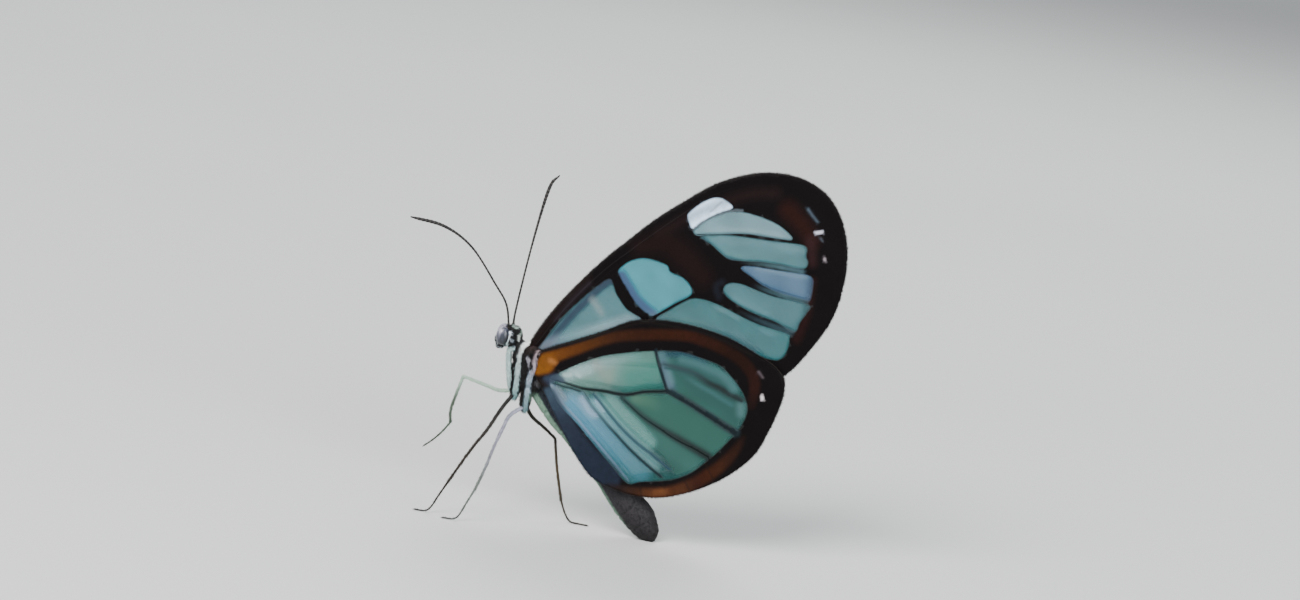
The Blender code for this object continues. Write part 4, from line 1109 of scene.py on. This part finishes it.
def coat(name, places, normals, lies, lengths, widths, lifts, colours, unwrapped, seed):
    """Thin pointed tufts rooted at the places, as one mesh with its texture map."""
    dice = np.random.default_rng(seed)
    count = len(places)
    lies = unit(lies - normals * np.sum(lies * normals, axis=1, keepdims=True))
    across = np.cross(normals, lies)
    swing = dice.normal(0.0, 0.22, count)[:, None]
    lies = lies * np.cos(swing) + across * np.sin(swing)
    across = np.cross(normals, lies)
    lengths = (lengths * dice.uniform(0.7, 1.25, count))[:, None]
    widths = (widths * dice.uniform(0.75, 1.2, count))[:, None]
    lifts = (lifts * dice.uniform(0.6, 1.5, count))[:, None]
    root = places - normals * 0.03
    middle = places + lies * lengths * 0.5 + normals * lengths * lifts * 0.62
    tip = places + lies * lengths + normals * lengths * lifts * 0.9
    flat = normals * widths * TUFT_FLAT
    rings = []
    for centre, share in ((root, 0.8), (middle, 1.0)):
        wide = across * widths * share
        rings += [centre + wide, centre + flat, centre - wide, centre - flat]
    corners = np.stack([*rings, tip], axis=1).reshape(-1, 3)
    pattern = [(3, 2, 1, 0)]
    for side, after in ((0, 1), (1, 2), (2, 3), (3, 0)):
        pattern += [(side, after, after + 4, side + 4), (side + 4, after + 4, 8)]
    faces = [tuple(first + index for index in face)
             for first in range(0, count * 9, 9) for face in pattern]
    shade = dice.uniform(0.75, 1.25, count)[:, None, None]
    along = np.array([0.7] * 4 + [1.0] * 4 + [1.15])[None, :, None]
    tints = np.clip(colours[:, None, :] * shade * along, 0.0, 1.0).reshape(-1, 3)
    obj = make_mesh(name, corners, faces, tints)
    square = np.array([(0, 0), (1, 0), (1, 1), (0, 1)] * 2 + [(0.5, 0.5)]) * 0.003 - 0.0015
    spots = (unwrapped[:, None, :] + square[None, :, :]).reshape(-1, 2)
    loops = read(obj.data.loops, "vertex_index", 1, np.int32)[:, 0]
    layer = obj.data.uv_layers.new(name="OFBake")
    layer.data.foreach_set("uv", spots[loops].astype(np.float32).ravel())
    return obj


def skin_finish(name, roughness, strength, scale):
    """Painted colours with a fine scaly or hairy relief."""
    made, tree, shader = shader_material(name, roughness, 0.25)
    place = tinted(tree, shader, scale * 0.4, 0.3)
    cellular(tree, shader, place, scale, strength, 0.00004)
    return made


def eye_finish():
    """Facets under a soft gloss: painted light makes them pale lilac-grey in front, painted shade dark
    behind; faint upright streaks.
    """
    made, tree, shader = shader_material("compound_eye", 0.34, coat_weight=0.22)
    shader.inputs["Coat Roughness"].default_value = 0.2
    place = node(tree, "ShaderNodeTexCoord").outputs["Object"]
    # painted light and shade: paler towards the lit front, darker behind
    off = node(tree, "ShaderNodeVectorMath", place, operation="SUBTRACT")
    off.inputs[1].default_value = tuple(np.array(EYE_CENTRE) * (1, 0, 1) * MM + np.array(SHIFT))
    slope = node(tree, "ShaderNodeVectorMath", off.outputs["Vector"], operation="DOT_PRODUCT")
    slope.inputs[1].default_value = EYE_LIT_WAY
    share = node(tree, "ShaderNodeMapRange", slope.outputs["Value"], From_Min=-0.0006, From_Max=0.0006)
    stretch = node(tree, "ShaderNodeMapping", place, Scale=(1.0, 1.0, 0.16), Rotation=(0.0, 0.3, 0.0))
    streaks = node(tree, "ShaderNodeTexNoise", stretch.outputs["Vector"], Scale=6500.0, Detail=1.0)
    wave = node(tree, "ShaderNodeMapRange", streaks.outputs["Fac"], From_Min=0.3, From_Max=0.7,
                To_Min=-0.2, To_Max=0.2)
    total = node(tree, "ShaderNodeMath", share.outputs["Result"], operation="ADD")
    tree.links.new(wave.outputs["Result"], total.inputs[1])
    ramp = node(tree, "ShaderNodeValToRGB", total.outputs["Value"])
    for _ in range(len(EYE_LIGHT_TONES) - 2):
        ramp.color_ramp.elements.new(0.5)
    for element, (position, tone) in zip(ramp.color_ramp.elements, EYE_LIGHT_TONES):
        element.position = position
        element.color = (*tone, 1.0)
    feed(tree, shader, Base_Color=ramp.outputs["Color"])
    cellular(tree, shader, place, 26000.0, 0.25, 0.00001, invert=True)
    return made


def build_eyes(finish):
    """The two large compound eyes."""
    work = bmesh.new()
    bmesh.ops.create_uvsphere(work, u_segments=64, v_segments=40, radius=1.0)
    ball = np.array([tuple(vert.co) for vert in work.verts]) * EYE_HALVES
    faces = [tuple(vert.index for vert in face.verts) for face in work.faces]
    work.free()
    for side, letter in SIDES:
        eye = make_mesh(f"compound_eye_{letter}", ball + mirrored(EYE_CENTRE, side), faces)
        stand_for(eye, "eye", finish, f"eye_{letter}")


def limb(points, sizes, spacing=0.08):
    """An even path with radii read along it."""
    path = even_route(smooth_route(points, 8), spacing)
    shares, radii = zip(*sizes)
    return path, np.interp(np.linspace(0, 1, len(path)), shares, radii)


def tube(name, path, radii, sides, tone, slot, finish, *nodes):
    """One limb or mouth part, coloured and finished."""
    stand_for(make_mesh(name, *sweep(path, radii, sides), tone), slot, finish, *nodes)


def build_antennae(finish):
    """Thin jointed feelers that swell into slender clubs."""
    for letter, points in ANTENNAE.items():
        path, radii = limb(points, FEELER_SIZES, 0.07)
        saw = (np.linspace(0, 1, len(path)) * FEELER_JOINTS) % 1.0
        rings = np.repeat(np.where(saw < RING_SHARE, 1.0, 0.0), FEELER_SIDES)
        rings = np.append(rings, [0.0, 0.0])[:, None]
        tone = FEELER_TONE + (FEELER_RING - FEELER_TONE) * rings
        tube(f"feeler_{letter}", path, radii * (0.89 + 0.22 * saw), FEELER_SIDES, tone, "limb_dark",
             finish, f"antenna_{letter}")


def limb_tufts(path, radii, spacing, seed):
    """Roots, normals and lies of short hairs along a limb."""
    dice = np.random.default_rng(seed)
    lengths = lengths_along(path)
    count = int(lengths[-1] * np.mean(radii) * math.tau / spacing ** 2)
    marks = dice.random(count) * lengths[-1]
    lies = read_along(marks, lengths, headings(path))
    normals = dice.normal(size=(count, 3))
    normals -= lies * np.sum(normals * lies, axis=1, keepdims=True) / np.sum(lies ** 2, axis=1)[:, None]
    normals = unit(normals)
    roots = read_along(marks, lengths, path) + normals * np.interp(marks, lengths, radii)[:, None]
    return roots, normals, lies


def build_palps(finish, hair):
    """Upturned palps, brushy below."""
    for side, letter in SIDES:
        path, radii = limb(mirrored(PALP, side), PALP_SIZES, 0.05)
        tube(f"feeding_palp_{letter}", path, radii, 14, PALP_TONE, "shell", finish, f"palp_{letter}")
        roots, *ways = limb_tufts(path, radii, 0.075, HAIR_SEED + side)
        dark = np.random.default_rng(3).random(len(roots)) < 0.75
        tones = np.where(dark[:, None], BLACK, STRIPE)
        stand_for(coat(f"palp_hair_{letter}", roots, *ways, *TUFTS["palp"], tones, unwrap(roots),
                       HAIR_SEED), "shell", hair)


def build_proboscis(finish):
    """The tongue rolled up like a watch spring under the face."""
    turns = np.linspace(0.0, 1.0, 150)
    angle = math.radians(60) + turns * math.tau * COIL_TURNS
    reach = (COIL_REACH[0] + (COIL_REACH[1] - COIL_REACH[0]) * turns)[:, None]
    coil = stand(COIL_CENTRE + reach * np.column_stack([np.cos(angle), np.sin(angle)]))
    stem = smooth_route([*TONGUE_STEM, coil[0]], 6)[:-1]
    path = even_route(np.vstack([stem, coil]), 0.03)
    radii = np.interp(np.linspace(0, 1, len(path)), *zip(*TONGUE_SIZES))
    radii = radii * (1.0 + 0.05 * np.cos(np.arange(len(path)) * math.pi))
    tube("tongue", path, radii, 12, TONGUE_TONE, "limb_dark", finish, "proboscis")


def cone(root, tip, radius, sides=5):
    """Corners and faces of one thin spike, its tip off the floor."""
    tip[2] = max(tip[2], 0.01)
    return sweep([root, (root + tip) / 2, tip], (radius, radius * 0.6, radius * 0.08), sides)


def leg_colours(name, places):
    """A walking leg's colour at each place, by height."""
    heights, colours = zip(*LEG_TONES[name])
    return read_along(places[:, 2], heights, colours)


def build_legs(finish, hair):
    """Walking legs with thigh, shin and five-jointed foot, spined and clawed."""
    for number, (name, (thigh, shin, foot)) in enumerate(LEGS.items()):
        routes = (thigh, [thigh[-1], *shin], [shin[-1], *foot])
        limbs = [limb(*row) for row in zip(routes, LEG_THICKNESS, LEG_STEPS)]
        path, radii = limbs[2]
        saw = (np.linspace(0, 1, len(path)) ** 0.8 * FOOT_JOINTS) % 1.0
        limbs[2] = (path, radii * (0.86 + 0.24 * saw))
        parts = [sweep(path, radii, LEG_SIDES) for path, radii in limbs]
        end = path[-1]
        ahead = unit(end - path[-4])
        for turn in (-CLAW_SPREAD, CLAW_SPREAD):
            tip = end + ahead * CLAW_LENGTH + (0.0, turn * 1.6, -0.03)
            parts.append(cone(end - ahead * 0.05 + (0.0, turn, 0.0), tip, 0.03))
        for (path, radii), step in zip(limbs[1:], SPINE_EVERY):
            for index in range(4, len(path) - 2, step):
                run = unit(path[index + 1] - path[index])
                for out in (LEFT, RIGHT):
                    away = unit(np.cross(run, (0.3, 0.9 * out, 0.2)))
                    tip = path[index] + away * (radii[index] + SPINE_OUT) + run * SPINE_AHEAD
                    parts.append(cone(path[index] + away * radii[index] * 0.6, tip, 0.018, 4))
        corners, faces = joined(parts)
        leg = make_mesh(f"{name}_limb", corners, faces, leg_colours(name, np.asarray(corners)))
        slot = "limb_pale" if name in PALE_LEGS else "limb_dark"
        stand_for(leg, slot, finish, f"{name}_femur", f"{name}_tibia", f"{name}_tarsus")
        sets = [limb_tufts(*limbs[part], 0.085, HAIR_SEED + 5 * number + part) for part in (0, 1)]
        roots, *ways = (np.concatenate(group) for group in zip(*sets))
        count = len(roots)
        dice = np.random.default_rng(HAIR_SEED + number)
        spots = in_map(np.column_stack([np.linspace(0, 1, count), dice.random(count)]))
        stand_for(coat(f"{name}_hair", roots, *ways, *TUFTS["leg"], leg_colours(name, roots), spots,
                       HAIR_SEED + number), slot, hair)


def build_forelegs(finish, hair):
    """The small front legs, folded along the chest and thickly scaled."""
    for side, letter in SIDES:
        path, radii = limb(mirrored(FORELEG, side), FORELEG_SIZES)
        tube(f"front_leg_{letter}", path, radii, 16, FORELEG_TONE, "limb_pale", finish,
             f"foreleg_{letter}")
        roots, *ways = limb_tufts(path, radii, 0.08, HAIR_SEED + 40 + side)
        tones = np.tile(FORELEG_TONE, (len(roots), 1))
        stand_for(coat(f"front_leg_hair_{letter}", roots, *ways, *TUFTS["foreleg"], tones,
                       unwrap(roots), HAIR_SEED), "limb_pale", hair)


def off_the_eyes(places):
    """How thickly hair grows on head and chest: thinly round the eyes, not on the abdomen."""
    _, belongs = abdomen_share(places)
    eye = (places - (EYE_CENTRE[0], 0, EYE_CENTRE[2])) / HAIRLESS
    return (1.0 - belongs) * np.where(np.linalg.norm(eye, axis=1) > 1.0, 1.0, 0.15)


def build_coat(corners, faces, hair):
    """The hair of head, chest and abdomen."""
    roots, normals = surface_points(corners, faces, CHEST_SPACING, HAIR_SEED, off_the_eyes)
    on_head = 1.0 - fade(roots[:, 0], *HEAD_FROM)
    down, back = np.array((0.35, 0.0, -1.0)), np.array((1.0, 0.0, -0.15))
    lies = down + (back - down) * on_head[:, None]
    nape = fade(roots[:, 2], *NAPE_FROM) * (1.0 - on_head)
    lengths = 0.34 - 0.14 * on_head - 0.18 * nape
    lifts = 0.28 + 0.15 * on_head - 0.18 * nape
    stand_for(coat("chest_hair", roots, normals, lies, lengths, 0.026, lifts, body_colour(roots),
                   unwrap(roots), HAIR_SEED), "shell", hair)
    roots, normals = surface_points(corners, faces, ABDOMEN_SPACING, HAIR_SEED + 1,
                                    lambda places: abdomen_share(places)[1])
    lies = np.tile((0.7, 0.0, -0.7), (len(roots), 1))
    stand_for(coat("abdomen_hair", roots, normals, lies, *TUFTS["abdomen"], body_colour(roots),
                   unwrap(roots), HAIR_SEED), "abdomen", hair)


def build_body():
    """Skin, eyes, feelers, mouth parts, legs and coat."""
    skin = skin_finish("body_scales", 0.6, 0.5, 11000.0)
    hair = skin_finish("body_hair", 0.55, 0.15, 16000.0)
    hard = skin_finish("limb_scales", 0.45, 0.35, 14000.0)
    corners, faces = body_skin()
    body = make_mesh("body_skin", corners, faces, body_colour(corners))
    stand_for(body, "shell", skin, "head", "thorax", "abdomen")
    build_eyes(eye_finish())
    build_antennae(hard)
    build_palps(hard, hair)
    build_proboscis(hard)
    build_legs(hard, hair)
    build_forelegs(hard, hair)
    build_coat(corners, faces, hair)


# Stage

def build_stage():
    """A plain pale floor, soft light and the photograph's camera."""
    bpy.ops.mesh.primitive_plane_add(size=8.0, location=(0, 0, 0))
    floor = bpy.context.object
    floor.name = "studio_floor"
    made, tree, shader = shader_material("studio_floor", 0.8)
    grain = node(tree, "ShaderNodeTexNoise", Scale=60.0)
    ramp = node(tree, "ShaderNodeValToRGB", grain.outputs["Fac"])
    for element, tone in zip(ramp.color_ramp.elements, FLOOR_TONES):
        element.color = tone
    feed(tree, shader, Base_Color=ramp.outputs["Color"])
    floor.data.materials.append(made)

    centre = from_photo(PHOTO_CENTRE)
    target = Vector((centre[0], 0.0, centre[1])) * MM + SHIFT
    forward = Vector((0.0, math.cos(RISE), -math.sin(RISE)))
    over = Vector((0.0, math.sin(RISE), math.cos(RISE)))
    side = Vector((1.0, 0.0, 0.0))
    right = side * math.cos(ROLL) + over * math.sin(ROLL)
    up = over * math.cos(ROLL) - side * math.sin(ROLL)
    data = bpy.data.cameras.new("photo_view")
    data.sensor_width = SENSOR
    data.lens = SENSOR * CAMERA_AWAY / (PHOTO_WIDTH * PIXEL * MM)
    data.clip_start = 0.01
    data.clip_end = 20.0
    camera = placed("photo_view", data)
    turn = Matrix((right, up, -forward)).transposed().to_4x4()
    camera.matrix_world = Matrix.Translation(target - forward * CAMERA_AWAY) @ turn
    bpy.context.scene.camera = camera

    for name, place, size, power, colour in LAMPS:
        light = bpy.data.lights.new(name, "AREA")
        light.shape = "DISK"
        light.size = size
        light.energy = power
        light.color = colour
        lamp = placed(name, light)
        lamp.location = Vector(place) + target
        lamp.rotation_euler = (-Vector(place)).to_track_quat("-Z", "Y").to_euler()
    world = bpy.data.worlds.new("studio")
    bpy.context.scene.world = world
    world.use_nodes = True
    sky = world.node_tree.nodes["Background"].inputs
    sky["Color"].default_value = SKY_TONE
    sky["Strength"].default_value = SKY_STRENGTH


build_stage()
build_wings()
build_body()
